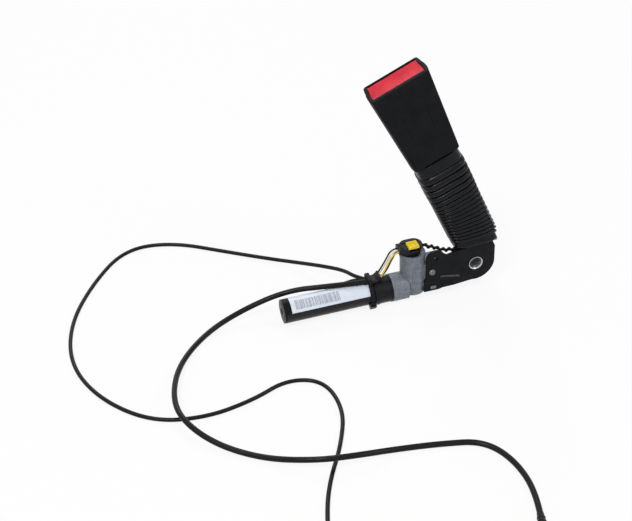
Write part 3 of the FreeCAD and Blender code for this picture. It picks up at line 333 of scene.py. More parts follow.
NODE_MATERIALS = {
    "bracket": ["bracket_front", "bracket_rear", "bracket_spacer"],
    "bush": ["mounting_bush"],
    "plated": ["piston", "rope_end_ferrule", "lock_balls", "generator_clip", "buckle_channel",
               "latch", "latch_pin", "rope_ferrule_upper", "gas_generator"],
    "rivet": ["bracket_rivet", "rope_anchor_rivet"],
    "cast": ["housing"],
    "rope": ["rope_wrap", "rope_tube_run", "rope_stalk_run"],
    "spring": ["latch_springs", "button_springs", "ejector_springs"],
    "brass": ["igniter"],
    "shell": ["buckle_front_shell", "buckle_rear_shell"],
    "black": ["cable_guide", "tube_end_plug", "cable_tie", "ejector", "buckle_switch", "thin_plug",
              "thick_plug", "thin_plug_insert", "thick_plug_insert"],
    "connector": ["squib_connector"],
    "yellow": ["connector_lock"],
    "red": ["release_button"],
    "boot": ["boot"],
    "sleeve": ["tube_sleeve", "rope_seal", "piston_seal"],
    "tube": ["piston_tube"],
    "cord": ["thin_cord", "thick_cord", "switch_lead", "switch_lead_stalk"],
    "lead_black": ["lead_black"],
    "lead_yellow": ["lead_yellow"],
    "lead_white": ["lead_white"],
}


def dress(obj, material):
    if not obj.material_slots:
        obj.data.materials.append(material)
    for slot in obj.material_slots:
        slot.material = material


for key, names in NODE_MATERIALS.items():
    for name in names:
        dress(nodes[name], materials[key])


# ---- camera, floor and light ----

def make_camera():
    """The view fitted to the photograph."""
    photo_width, focal_pixels, sensor_width, distance = 632.0, 1317.0, 36.0, 1.1
    target = at(-140.0, 0.0, 30.5)
    azimuth, elevation, roll = (math.radians(v) for v in (-15.5, 36.5, -2.8))
    back = Vector((math.sin(azimuth) * math.cos(elevation),
                   -math.cos(azimuth) * math.cos(elevation), math.sin(elevation)))
    right = Vector((math.cos(azimuth), math.sin(azimuth), 0.0))
    up = back.cross(right)
    turned_right = right * math.cos(roll) + up * math.sin(roll)
    turned_up = up * math.cos(roll) - right * math.sin(roll)
    data = bpy.data.cameras.new("photo_camera")
    data.sensor_width = sensor_width
    data.lens = sensor_width * focal_pixels / photo_width
    data.clip_start = 0.05
    camera = add_object("photo_camera", data)
    turn = Matrix((turned_right, turned_up, back)).transposed().to_4x4()
    camera.matrix_world = Matrix.Translation(target + back * distance) @ turn
    bpy.context.scene.camera = camera


def seen_by_eye(tree):
    """1 for camera, mirror and glass rays."""
    link = tree.links.new
    path = add(tree, "ShaderNodeLightPath")
    first = add(tree, "ShaderNodeMath", operation="MAXIMUM")
    second = add(tree, "ShaderNodeMath", operation="MAXIMUM")
    link(path.outputs["Is Camera Ray"], first.inputs[0])
    link(path.outputs["Is Glossy Ray"], first.inputs[1])
    link(first.outputs[0], second.inputs[0])
    link(path.outputs["Is Transmission Ray"], second.inputs[1])
    return second.outputs[0]


def make_world():
    """White all round, which lights the part at half its seen strength."""
    world = bpy.data.worlds.new("studio")
    bpy.context.scene.world = world
    world.use_nodes = True
    tree = world.node_tree
    background = tree.nodes["Background"]
    background.inputs["Color"].default_value = (1, 1, 1, 1)
    strength = spread(tree, seen_by_eye(tree), 0.5, 1.0, 0.0, 1.0)
    tree.links.new(strength, background.inputs["Strength"])


def floor_material():
    """Nearly white for the camera, so that only faint shadows show."""
    white_share = 0.88
    material = bpy.data.materials.new("studio_floor")
    material.use_nodes = True
    tree = material.node_tree
    link = tree.links.new
    shader = tree.nodes["Principled BSDF"]
    shader.inputs["Base Color"].default_value = (0.93, 0.93, 0.93, 1)
    shader.inputs["Roughness"].default_value = 0.9
    shader.inputs["Specular IOR Level"].default_value = 0.1
    white = add(tree, "ShaderNodeEmission")
    white.inputs["Strength"].default_value = 1.0
    mix = add(tree, "ShaderNodeMixShader")
    share = spread(tree, seen_by_eye(tree), 0.0, white_share, 0.0, 1.0)
    link(share, mix.inputs["Fac"])
    link(shader.outputs["BSDF"], mix.inputs[1])
    link(white.outputs["Emission"], mix.inputs[2])
    link(mix.outputs["Shader"], tree.nodes["Material Output"].inputs["Surface"])
    return material


def make_floor():
    """A square 6 m wide, a tenth of a millimetre under the lowest cord."""
    half = 3.0
    z = FLOOR_Z * MM - 0.0001
    mesh = bpy.data.meshes.new("studio_floor")
    corners = [(-half, -half, z), (half, -half, z), (half, half, z), (-half, half, z)]
    mesh.from_pydata(corners, [], [(0, 1, 2, 3)])
    floor = add_object("studio_floor", mesh)
    floor.data.materials.append(floor_material())


def soft_light(name, place, target, size, power):
    """A round area light, size in metres and power in watts."""
    data = bpy.data.lights.new(name, "AREA")
    data.shape = "DISK"
    data.size = size
    data.energy = power
    light = add_object(name, data)
    light.location = place
    light.rotation_euler = (Vector(target) - Vector(place)).to_track_quat("-Z", "Y").to_euler()


def make_studio():
    make_camera()
    make_world()
    make_floor()
    middle = at(-130, -30, 20)
    soft_light("key_light", (-0.9, -0.7, 1.5), middle, 0.5, 11.0)
    soft_light("fill_light", (0.9, -0.9, 1.1), middle, 0.6, 4.5)
    soft_light("back_light", (-0.1, 1.1, 1.2), middle, 0.5, 5.0)
    bpy.context.scene.view_settings.view_transform = "Standard"


make_studio()


# ---- meshes, curves and lines ----

def new_mesh(name, verts, faces, material, slot, body=None, sharp=40.0):
    """A smooth mesh object with its sharp edges marked from an angle in degrees."""
    mesh = bpy.data.meshes.new(name)
    mesh.from_pydata([tuple(v) for v in verts], [], faces)
    mesh.validate()
    mesh.shade_smooth()
    mesh.set_sharp_from_angle(angle=math.radians(sharp))
    obj = add_object(name, mesh)
    mesh.materials.append(material)
    if body:
        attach(obj, body)
    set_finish(obj, slot)
    return obj


def from_bmesh(name, bm, material, slot, body=None, sharp=40.0):
    bmesh.ops.recalc_face_normals(bm, faces=bm.faces)
    verts = [v.co.copy() for v in bm.verts]
    bm.verts.index_update()
    faces = [[v.index for v in f.verts] for f in bm.faces]
    bm.free()
    return new_mesh(name, verts, faces, material, slot, body, sharp)


def round_curve(name, bevel_resolution):
    """Curve data with a round section, whose radius each point gives."""
    data = bpy.data.curves.new(name, "CURVE")
    data.dimensions = "3D"
    data.bevel_depth = 1.0
    data.bevel_resolution = bevel_resolution
    data.use_fill_caps = True
    return data


def add_spline(data, kind, points, radius):
    spline = data.splines.new(kind)
    spline.points.add(len(points) - 1)
    for place, point in zip(spline.points, points):
        place.co = (*point, 1.0)
        place.radius = radius
    return spline


def route_curve(name, points, radius, material, slot):
    """A smooth cord: the route's points are the control points of one open NURBS spline."""
    data = round_curve(name, 4)
    data.resolution_u = 10
    spline = add_spline(data, "NURBS", points, radius)
    spline.order_u = 3
    spline.use_endpoint_u = True
    obj = add_object(name, data)
    data.materials.append(material)
    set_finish(obj, slot)
    return obj


def wire_curve(name, paths, radius, material, slot, body=None, resolution=2):
    """Thin round wires along given lines, all in one object."""
    data = round_curve(name, resolution)
    for path in paths:
        add_spline(data, "POLY", path, radius)
    obj = add_object(name, data)
    data.materials.append(material)
    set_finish(obj, slot)
    if body:
        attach(obj, body)
    return obj


def to_mesh(obj):
    """Turn a curve object into a mesh object of the same name."""
    mesh = evaluated_mesh(obj)
    name = obj.name
    slot = obj.get("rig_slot")
    bpy.data.objects.remove(obj)
    mesh.shade_smooth()
    made = add_object(name, mesh)
    if slot:
        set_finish(made, slot)
    return made


def line_of(obj):
    """The points of a curve's own line, read with its thickness off."""
    depth = obj.data.bevel_depth
    obj.data.bevel_depth = 0.0
    mesh = evaluated_mesh(obj)
    points = [v.co.copy() for v in mesh.vertices]
    bpy.data.meshes.remove(mesh)
    obj.data.bevel_depth = depth
    return points


def line_length(points):
    return sum((b - a).length for a, b in zip(points, points[1:]))


def walk(points, start, end, step):
    """Points and directions along a line between two distances from its start."""
    found = []
    travelled = 0.0
    want = start
    for a, b in zip(points, points[1:]):
        length = (b - a).length
        while length > 0 and want <= end + 1e-9 and travelled + length >= want:
            found.append((a.lerp(b, (want - travelled) / length), (b - a).normalized()))
            want += step
        travelled += length
    return found


def walk_all(line, step):
    """Points and directions along a whole line."""
    return walk(line, 0.0, line_length(line) - 1e-6, step)


def side_axes(stations):
    """Two axes across each station, carried along without twist."""
    axis = stations[0][1].orthogonal().normalized()
    frames = []
    for _, direction in stations:
        axis = (axis - direction * axis.dot(direction)).normalized()
        frames.append((axis.copy(), direction.cross(axis).normalized()))
    return frames


def helix_on(stations, radius, pitch, phase=0.0):
    """A line that winds round the stations."""
    path = []
    travelled = 0.0
    last = stations[0][0]
    for (centre, _), (a, b) in zip(stations, side_axes(stations)):
        travelled += (centre - last).length
        last = centre
        turn = phase + 2 * math.pi * travelled / pitch
        path.append(centre + (a * math.cos(turn) + b * math.sin(turn)) * radius)
    return path


def ring_faces(rings, sides):
    """Faces between rings of points that follow each other."""
    faces = []
    for i in range(rings - 1):
        for k in range(sides):
            n = (k + 1) % sides
            faces.append((i * sides + k, i * sides + n, (i + 1) * sides + n, (i + 1) * sides + k))
    return faces


def end_faces(rings, sides):
    """Faces that close the first and the last ring."""
    return [tuple(reversed(range(sides))), tuple((rings - 1) * sides + k for k in range(sides))]


def sleeve_on(stations, radii, sides=20):
    """Vertices and faces of a closed sleeve whose radius changes along the stations."""
    verts = []
    for (centre, _), (a, b), radius in zip(stations, side_axes(stations), radii):
        for k in range(sides):
            turn = 2 * math.pi * k / sides
            verts.append(centre + (a * math.cos(turn) + b * math.sin(turn)) * radius)
    return verts, ring_faces(len(stations), sides) + end_faces(len(stations), sides)


# ---- cords ----

THIN_R = 1.75
THICK_R = 2.35
LEAD_R = 0.72
SWITCH_LEAD_R = 1.0

# Heights over the floor: of the tube's top, and of the thick cord's route where it crosses over
# the thin cord.
ON_TUBE = TUBE_TOP_Z - FLOOR_Z
HUMP = 2 * THIN_R + 2 * THICK_R


def floor_route(route, radius):
    """Points of a cord of some radius, given with their lift over the floor."""
    return [at(x, y, FLOOR_Z + radius + lift) for x, y, lift in route]


thin_points = floor_route([
    (-95.2, 2.5, ON_TUBE + 0.35), (-103.0, 9.6, ON_TUBE + 0.1), (-108.0, 25.5, 20.0),
    (-121.0, 46.0, 13.5), (-137.0, 68.0, 6.0), (-157.0, 88.0, 1.2), (-190.5, 113.3, 0),
    (-238.0, 147.5, 0), (-282.0, 151.0, 0), (-319.0, 108.0, 0), (-346.0, 58.0, 0),
    (-354.0, 5.0, 0), (-338.5, -44.0, 0), (-304.5, -84.0, 0), (-262.0, -94.5, 0),
    (-221.0, -87.0, 0), (-190.0, -73.0, 0), (-161.5, -84.0, 0), (-156.8, -122.0, 0),
    (-172.0, -160.0, 0), (-190.5, -191.0, 0), (-203.0, -222.0, 0), (-210.5, -252.0, 0),
], THIN_R)
thick_points = floor_route([
    (-94.4, -1.7, ON_TUBE + 0.25), (-127.7, 3.8, ON_TUBE + 0.1), (-162.9, 14.9, 19.5),
    (-202.2, 17.4, 7.5), (-238.0, 6.6, 0.0), (-268.4, -26.9, 1.5), (-282.9, -70.2, HUMP),
    (-281.9, -100.3, HUMP), (-262.4, -128.7, 2.0), (-230.9, -154.0, 0.0),
    (-196.2, -176.5, HUMP), (-166.9, -181.4, HUMP), (-131.8, -177.6, 0.0),
    (-99.3, -183.2, 0.0), (-67.7, -191.3, 0.0), (-53.6, -218.7, 0.0), (-52.9, -256.5, 0.0),
    (-64.5, -291.0, 0.0),
], THICK_R)


def relief_radii(count, cord_radius):
    """Radii of a strain relief: it widens towards the plug and has five ribs after a plain start."""
    wall, widening, rib_height, ribs, plain_share = 0.25, 1.35, 0.35, 5.0, 0.15
    radii = []
    for i in range(count):
        share = i / (count - 1)
        rib = 0.0
        if share > plain_share:
            rib = rib_height * max(0.0, math.sin(2 * math.pi * ribs * share))
        radii.append((cord_radius + wall + widening * share + rib) * MM)
    return radii


def free_cord(name, points, radius):
    """One declared cord with a ribbed strain relief in front of its plug."""
    relief_length, relief_gap, relief_step = 0.020, 0.0006, 0.0004
    cord = route_curve(name + "_line", points, radius * MM, materials["cord"], "cord_black")
    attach(cord, "base")
    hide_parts(name)
    line = line_of(cord)
    total = line_length(line)
    stations = walk(line, total - relief_length, total - relief_gap, relief_step)
    verts, faces = sleeve_on(stations, relief_radii(len(stations), radius))
    relief = new_mesh(name + "_relief", verts, faces, materials["sleeve"], "cord_black", "base",
                      sharp=60)


free_cord("thin_cord", thin_points, THIN_R)
free_cord("thick_cord", thick_points, THICK_R)


# ---- leads ----

TIE_LEAD_Z = TUBE_TOP_Z + 2.1
LEAD_LOW = 54.0
LEAD_HIGH = 138.0
LEAD_DEPTH = -5.4


def lead_route(row, end_y):
    """From one place in the plug's row of leads down to the tie."""
    x, z = -67.8, 22.9
    return [at(x + 4.6, row, z), at(x - 4.6, row, z), at(x - 9.4, row * 0.95, z - 9.4),
            at(x - 14.2, 0.5 * (row + end_y), z - 18.6), at(x - 18.6, end_y, TIE_LEAD_Z + 0.5),
            at(-93.8, end_y, TIE_LEAD_Z)]


def make_plug_leads():
    """Three leads, each with its place in the plug's row and its place under the tie."""
    rows = (("lead_black", 3.2, 4.35), ("lead_yellow", -3.2, -3.3), ("lead_white", 0.0, 2.45))
    for lead, row, end_y in rows:
        piece = route_curve(lead + "_line", lead_route(row, end_y), LEAD_R * MM, materials[lead],
                            lead)
        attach(piece, "base")
        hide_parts(lead)


def make_switch_lead():
    """From the tie behind the tower and over the bracket into the boot, with wrap on its way."""
    points = [
        at(-94.0, -0.6, TIE_LEAD_Z + 0.5), at(-86.5, -0.1, TIE_LEAD_Z + 0.75),
        at(-80.0, 3.2, TIE_LEAD_Z + 0.5), at(-73.5, 9.6, -1.2), at(-68.0, 12.9, 6.0),
        at(-61.0, 13.6, 15.0), at(-53.0, 12.2, 20.4), at(-46.0, 7.0, 20.4), at(-40.0, 3.4, 18.0),
        at(-34.5, 0.4, 17.6), at(-29.2, -2.2, 15.4), at(-23.5, -4.2, 15.2), at(-16.5, -5.3, 15.0),
        at(-8.5, -5.5, 15.6), at(1.0, -5.5, 16.6), at(5.0, -5.5, 24.2), at(2.0, -5.5, 33.5),
        stalk(0, LEAD_DEPTH, 46.0), stalk(0, LEAD_DEPTH, LEAD_LOW),
    ]
    switch_line = route_curve("switch_lead_line", points, SWITCH_LEAD_R * MM, materials["cord"],
                              "cord_black")
    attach(switch_line, "base")
    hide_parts("switch_lead")
    wrap_from, wrap_to, step = 0.058, 0.108, 0.0004
    wrap_r, wrap_pitch, tape_r = 1.3, 5.2, 1.0
    stations = walk(line_of(switch_line), wrap_from, wrap_to, step)
    wire_curve("switch_lead_wrap", [helix_on(stations, wrap_r * MM, wrap_pitch * MM)],
               tape_r * MM, materials["sleeve"], "cord_black", "base", 3)


def make_stalk_lead():
    """The switch lead inside the boot, in waves that give it length to spare."""
    waves = [(0, 0, LEAD_DEPTH), (0.095, 0, LEAD_DEPTH), (0.24, -1.5, -6.6), (0.405, -3.5, -5.2),
             (0.56, -5.5, -6.6), (0.715, -8.4, -7.0), (0.857, -8.0, -7.6), (1, -8.0, -7.6)]
    points = [stalk(across, depth, LEAD_LOW + share * (LEAD_HIGH - LEAD_LOW))
              for share, across, depth in waves]
    stalk_lead = to_mesh(route_curve("switch_lead_upper", points, SWITCH_LEAD_R * MM,
                                     materials["cord"], "cord_black"))
    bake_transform(stalk_lead)
    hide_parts("switch_lead_stalk")


make_plug_leads()
make_switch_lead()
make_stalk_lead()


# ---- wire rope ----

ROPE_FOOT = 12.0
ROPE_HEAD = 127.6
ROPE_IN_TUBE_X = -47.9
ROPE_END_X = -87.0


def stranded(name, line, step):
    """Six strands round a core strand along a line."""
    outer_strands, lay_length = 6, 24.0
    stations = walk_all(line, step)
    strand_r = ROPE_R / 3.0 * MM
    paths = [[centre for centre, _ in stations]]
    for k in range(outer_strands):
        phase = 2 * math.pi * k / outer_strands
        paths.append(helix_on(stations, 2 * strand_r, lay_length * MM, phase))
    return wire_curve(name, paths, strand_r * 0.99, materials["rope"], "rope_steel")


def wrap_line():
    """Centre line of the rope from the housing round the guide to the foot of the stalk."""
    steps = 40
    exit_x = TOWER_X + TOWER_R - 1.0
    reach = math.hypot(exit_x, TUBE_Z)
    slope = math.atan2(-TUBE_Z, -exit_x) - math.asin(ROPE_WRAP_R / reach)
    points = [at(exit_x - 3.5, 0, TUBE_Z), at(exit_x - 1.0, 0, TUBE_Z)]
    start = slope - math.pi / 2
    for i in range(steps + 1):
        turn = start + (LEAN - start) * i / steps
        points.append(at(ROPE_WRAP_R * math.cos(turn), 0, ROPE_WRAP_R * math.sin(turn)))
    points.append(stalk(0, 0, ROPE_FOOT))
    return points


def make_rope():
    """The bend, which stays, and the two runs, whose far ends move with buckle and piston."""
    bend_step, run_step = 0.0012, 0.0016
    rope_bend = stranded("rope_bend_strands", wrap_line(), bend_step)
    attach(rope_bend, "base")
    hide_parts("rope_wrap")

    up_line = [stalk(0, 0, ROPE_FOOT), stalk(0, 0, ROPE_HEAD)]
    rope_up = to_mesh(stranded("rope_stalk_strands", up_line, run_step))
    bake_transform(rope_up)
    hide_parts("rope_stalk_run")

    in_line = [at(ROPE_IN_TUBE_X, 0, TUBE_Z), at(ROPE_END_X, 0, TUBE_Z)]
    rope_in = to_mesh(stranded("rope_tube_strands", in_line, run_step))
    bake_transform(rope_in)
    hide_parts("rope_tube_run")


make_rope()


# ---- springs that shorten ----

def soft_copy(node):
    """A copy of a spring's mesh that shortens between its seat and the piece it pushes."""
    made = add_object(node + "_wire", nodes[node].data.copy())
    dress(made, materials["spring"])
    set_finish(made, "spring_steel")
    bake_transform(made)
    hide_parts(node)


soft_copy("button_springs")
soft_copy("ejector_springs")


# ---- CAD pieces fitted closer to the photograph ----

def reshaped(node, name, material, slot, body, rule=None):
    """A copy of a CAD piece that replaces it, with its points moved where a rule is given."""
    mesh = nodes[node].data.copy()
    if rule:
        for v in mesh.vertices:
            v.co = rule(v.co)
    made = add_object(name, mesh)
    dress(made, materials[material])
    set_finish(made, slot)
    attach(made, body)
    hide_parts(node)
    return made


def prism_object(name, outline, y0, y1):
    """A prism between two depths, given by its outline in X and Z."""
    verts = [at(x, y, z) for y in (y0, y1) for x, z in outline]
    count = len(outline)
    faces = [tuple(range(count)), tuple(reversed(range(count, 2 * count)))]
    faces += [(k, count + k, count + (k + 1) % count, (k + 1) % count) for k in range(count)]
    bm = bmesh.new()
    added = [bm.verts.new(v) for v in verts]
    for face in faces:
        bm.faces.new([added[i] for i in face])
    bmesh.ops.recalc_face_normals(bm, faces=bm.faces)
    mesh = bpy.data.meshes.new(name)
    bm.to_mesh(mesh)
    bm.free()
    return add_object(name, mesh)


def cut_away(obj, outline, y0, y1):
    """Take a prism out of an object."""
    cutter = prism_object("cutter", outline, y0, y1)
    cut = obj.modifiers.new("cut", "BOOLEAN")
    cut.operation = "DIFFERENCE"
    cut.object = cutter
    cut.solver = "EXACT"
    made = evaluated_mesh(obj)
    obj.modifiers.clear()
    obj.data = made
    bpy.data.objects.remove(cutter)


# How far the buckle's flanks stand out, and where across the buckle this begins and is full.
FLANK_OUT = 3.5
FLANK_LESS_AT_MOUTH = 1.5
FLANK_LESS_AT_BACK = 3.0
FLANK_FROM = 12.0
FLANK_FULL = 18.0

# The button's face: its depth below the mouth, its front edge, its width from front to rear,
# and how much its front sinks and its rear rises.
FACE_DEPTH = 3.4
FACE_FRONT_Y = -9.0
FACE_T = 16.9
FACE_SINK = 0.2
FACE_RISE = 2.5


def spread_sides(w, y, s):
    """The flanks moved outwards: more at the front face than at the back, more at the low end."""
    share = min(1.0, max(0.0, (s - BUCKLE_LOW) / (BUCKLE_HIGH - BUCKLE_LOW)))
    depth_share = (y + BUCKLE_HALF_T) / (2 * BUCKLE_HALF_T)
    extra = FLANK_OUT - FLANK_LESS_AT_MOUTH * share - FLANK_LESS_AT_BACK * depth_share
    return w + math.copysign(extra * smooth(abs(w), FLANK_FROM, FLANK_FULL), w)


def skin_rule(point):
    w, y, s = off_stalk(point)
    return stalk(spread_sides(w, y, s), y, s)


def button_rule(point):
    """The button's face is widened with its window, and its rear edge stands proud of the rim."""
    w, y, s = off_stalk(point)
    if s > BUCKLE_HIGH - FACE_DEPTH:
        s += -FACE_SINK + FACE_RISE * (y - FACE_FRONT_Y) / FACE_T
    return stalk(spread_sides(w, y, s), y, s)


def make_buckle_skin():
    reshaped("buckle_front_shell", "buckle_front_skin", "shell", "black_plastic", "buckle", skin_rule)
    reshaped("buckle_rear_shell", "buckle_rear_skin", "shell", "black_plastic", "buckle", skin_rule)
    reshaped("release_button", "button_face", "red", "red_plastic", "button", button_rule)


def front_plate_rule(point):
    """The front plate's top edge rises to the boot's hem between its lobe and its neck."""
    lobe_x, neck_x, edge_low_z, edge_high_z = -28.0, -2.0, 12.0, 17.0
    rise, rise_from_x, rise_full_x = 4.2, -26.8, -19.0
    x, y, z = point / MM
    if lobe_x < x < neck_x and edge_low_z < z < edge_high_z:
        z += rise * smooth(x, rise_from_x, rise_full_x)
    return at(x, y, z)


def make_front_plate():
    reshaped("bracket_front", "bracket_front_plate", "bracket", "bracket_black", "base",
             front_plate_rule)


def make_rear_plate():
    """The rear plate is cut low to the left of the boot."""
    left_x, top_z, cut_z, low_z, right_x = -80.0, 21.1, 4.0, -3.0, -9.2
    rear_plate = reshaped("bracket_rear", "bracket_rear_plate", "bracket", "bracket_black", "base")
    outline = [(left_x, cut_z), (-35.9, cut_z), (-31.7, low_z), (-14.5, low_z), (right_x, 6.4),
               (right_x, top_z), (left_x, top_z)]
    cut_away(rear_plate, outline, 7.5, 12.0)


def make_collar():
    """The spacer at the locating hole is cut to a short collar behind the front plate."""
    collar_end_y = -6.4
    collar = reshaped("bracket_spacer", "locating_collar", "bracket", "bracket_black", "base")
    cut_away(collar, [(-50, 0), (-25, 0), (-25, 25), (-50, 25)], collar_end_y, 12.0)


def lock_rule(point):
    """The lip at the front of the lock ends higher."""
    lip_y, lip_z, kept_share = -5.7, 27.0, 0.25
    x, y, z = point / MM
    if y < lip_y and z < lip_z:
        z = lip_z - kept_share * (lip_z - z)
    return at(x, y, z)


def make_lock():
    reshaped("connector_lock", "lock_slider", "yellow", "yellow_plastic", "plug_lock", lock_rule)


make_buckle_skin()
make_front_plate()
make_rear_plate()
make_collar()
make_lock()


# ---- boot ----

BOOT_HALF_W = 19.85
BOOT_HALF_T = 13.35
BOOT_WALL = 1.1

# Levels along the boot, 0 at the hem and 1 at the top, with the outward step of the surface
# there, in mm.
HEM_ROWS = [(0.0, -0.3), (0.004, 0.25), (0.012, 0.5), (0.024, 0.5), (0.034, 0.2), (0.045, -0.3),
            (0.06, -0.35)]
COLLAR_ROWS = [(0.886, -1.2), (0.892, -0.2), (0.90, 0.25), (0.912, 0.3), (0.935, 0.2),
               (0.965, 0.12), (0.985, 0.05), (0.997, -0.05), (1.0, -0.35)]
RIDGES_LOW = 0.068
RIDGES_HIGH = 0.884


def rounded_section(half_w, half_t, turn):
    """A point of a rounded rectangle at one turn."""
    power = 2.0 / 3.7
    c, s = math.cos(turn), math.sin(turn)
    return (half_w * math.copysign(abs(c) ** power, c), half_t * math.copysign(abs(s) ** power, s))


def ridge_rows():
    """Domed ridges: twelve that grow a little, then five that are wider and higher."""
    steps = 10
    pitches = [0.80 + 0.012 * i for i in range(12)] + [1.12, 1.26, 1.36, 1.42, 1.46]
    rows = []
    start = RIDGES_LOW
    for i, share in enumerate(pitches):
        pitch = (RIDGES_HIGH - RIDGES_LOW) * share / sum(pitches)
        wide = smooth(i, 9.5, 13.0)
        groove = -1.25 - 0.45 * wide
        height = 2.0 + 1.0 * wide
        for k in range(steps):
            f = k / steps
            dome = (1.0 - abs(2 * f - 1) ** 2.2) ** 0.62
            rows.append((start + pitch * f, groove + height * dome))
        start += pitch
    return rows


def hem_height(x, depth):
    """Height of the boot's lower edge: low at the back, higher and sloping over the front plate."""
    gap, front_lift, slope, rise_from, rise_over = 0.25, 5.0, 0.0875, 3.0, 8.0
    t = min(1.0, max(0.0, (-depth - rise_from) / rise_over))
    return BOOT_LOW_Z + gap + (front_lift + slope * x) * t


def narrowed(w, s):
    """Position across after the lower right side is drawn in towards the bracket's round end."""
    below, rate = 22.0, 0.0142
    if w > 0 and s < below:
        return w * (1.0 - rate * (below - s))
    return w


def boot_point(level, step, turn):
    """One point of the boot's surface, with the small irregularities of soft rubber."""
    top_taper, low_shift, hem_s, square_s = 0.2, 0.45, 15.0, 17.0
    half_w = BOOT_HALF_W - top_taper * smooth(level, 0.75, 1.0)
    half_t = BOOT_HALF_T - top_taper * smooth(level, 0.8, 1.0)
    w, y = rounded_section(half_w + step, half_t + step, turn)
    w = w - low_shift + low_shift * smooth(level, 0.2, 0.9)

    # Near the hem the rows follow its height, further up they are square to the stalk.
    x = (ROPE_WRAP_R + w) * math.cos(LEAN) - hem_s * math.sin(LEAN)
    low_s = (hem_height(x, y) - (ROPE_WRAP_R + w) * math.sin(LEAN)) / math.cos(LEAN)
    fan = low_s + (BOOT_TOP - low_s) * level
    square = square_s + (BOOT_TOP - square_s) * level
    s = fan + (square - fan) * smooth(level, 0.2, 0.6)
    w = narrowed(w, s)

    round_place = Vector((math.cos(turn) * 1.6, math.sin(turn) * 1.6, level * 7.0))
    swell_place = Vector((math.cos(turn) * 0.8 + 7.0, math.sin(turn) * 0.8, level * 3.0))
    loose = smooth(level, 0.04, 0.15) * (1 - smooth(level, 0.86, 0.93))
    s += 0.5 * noise.noise(round_place) * loose
    uneven = 0.008 * noise.noise(swell_place) + 0.005 * noise.noise(round_place * 2.3)
    out = 1.0 + uneven * loose
    return stalk(w * out, y * out, s)


def make_boot():
    columns = 132
    rows = HEM_ROWS + ridge_rows() + COLLAR_ROWS
    verts = [boot_point(level, step, 2 * math.pi * k / columns)
             for level, step in rows for k in range(columns)]
    boot = new_mesh("boot_bellows", verts, ring_faces(len(rows), columns), materials["boot"],
                    "boot_rubber", sharp=75)
    wall = boot.modifiers.new("wall", "SOLIDIFY")
    wall.thickness = BOOT_WALL * MM
    wall.offset = -1.0
    mesh = evaluated_mesh(boot)
    boot.modifiers.clear()
    boot.data = mesh
    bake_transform(boot)
    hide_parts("boot")


make_boot()


# ---- label on the tube ----

LABEL_RIGHT_X = -95.2
UNDER_LABEL_R = TUBE_R - 0.08


def tube_patch(x0, x1, low, high, outer):
    """A thin patch on the tube between two lengths and two angles, measured up from the front."""
    degrees_per_step = 4
    turns = int((high - low) / degrees_per_step)
    verts, faces = [], []
    for radius in (UNDER_LABEL_R, outer):
        for x in (x0, x1):
            for k in range(turns + 1):
                a = math.radians(low + (high - low) * k / turns)
                verts.append(at(x, -radius * math.cos(a), TUBE_Z + radius * math.sin(a)))
    row = turns + 1
    layer = 2 * row
    for k in range(turns):
        faces.append((k, k + 1, row + k + 1, row + k))
        faces.append((layer + k, layer + row + k, layer + row + k + 1, layer + k + 1))
        faces.append((k, layer + k, layer + k + 1, k + 1))
        faces.append((row + k, row + k + 1, layer + row + k + 1, layer + row + k))
    faces.append((0, row, layer + row, layer))
    faces.append((turns, layer + turns, layer + row + turns, row + turns))
    return verts, faces


def make_label_grounds():
    """White field above and behind, black band at the front and below."""
    verts, faces = tube_patch(-165.6, LABEL_RIGHT_X, 19.0, 146.0, TUBE_R + 0.13)
    new_mesh("label_field", verts, faces, materials["paper"], "white_plastic", "base", sharp=30)
    verts, faces = tube_patch(-170.3, LABEL_RIGHT_X, -62.0, 18.6, TUBE_R + 0.10)
    new_mesh("label_band", verts, faces, materials["ink"], "black_plastic", "base", sharp=30)


def make_label_bars():
    """Grey bars of uneven width and spacing on the white field."""
    verts, faces = [], []
    x, last_x = -161.6, -122.5
    draw = 17
    while x < last_x:
        draw = (draw * 73 + 41) % 257
        width = 0.30 + 0.16 * (draw % 4)
        bar_verts, bar_faces = tube_patch(x, x + width, 33.0, 80.0, TUBE_R + 0.17)
        base = len(verts)
        verts += bar_verts
        faces += [tuple(base + i for i in f) for f in bar_faces]
        x += width + 0.30 + 0.14 * ((draw // 4) % 3)
    new_mesh("label_bars", verts, faces, materials["bars"], "black_plastic", "base", sharp=30)


make_label_grounds()
make_label_bars()


# ---- small cast and moulded details ----

LINE_R = 0.17


def tower_arc(z, radius, start, end, count=24):
    """A level arc round the tower between two turns in degrees."""
    path = []
    for i in range(count + 1):
        a = math.radians(start + (end - start) * i / count)
        path.append(at(TOWER_X + radius * math.cos(a), radius * math.sin(a), z))
    return path


def upright(turn, low, high, radius):
    """A straight line up the side of the tower at one turn."""
    count = 8
    a = math.radians(turn)
    x, y = TOWER_X + radius * math.cos(a), radius * math.sin(a)
    return [at(x, y, low + (high - low) * i / count) for i in range(count + 1)]


def make_parting_shade_and_ribs():
    """Darker lines that paint the shade of the die's parting seams, and upright ribs."""
    r = TOWER_R + 0.02
    # Thin darker wires on the tower: painted shade along the parting seams.
    fine = [tower_arc(6.6, r, 205, 300), tower_arc(-13.5, r, 285, 322)]
    fine += [upright(252, -20.0, 6.6, r), upright(205, 6.6, 13.5, r)]
    wire_curve("housing_parting_shade_lines", fine, LINE_R * MM, materials["rivet"], "cast_grey", "base",
               1)
    rib_top_z, rib_r = 13.2, 0.38
    ribs = [upright(turn, low, rib_top_z, r - 0.15)
            for turn, low in ((293, -12.0), (302, -13.0), (311, -13.0), (319, -12.5))]
    wire_curve("housing_ribs", ribs, rib_r * MM, materials["cast"], "cast_grey", "base", 2)


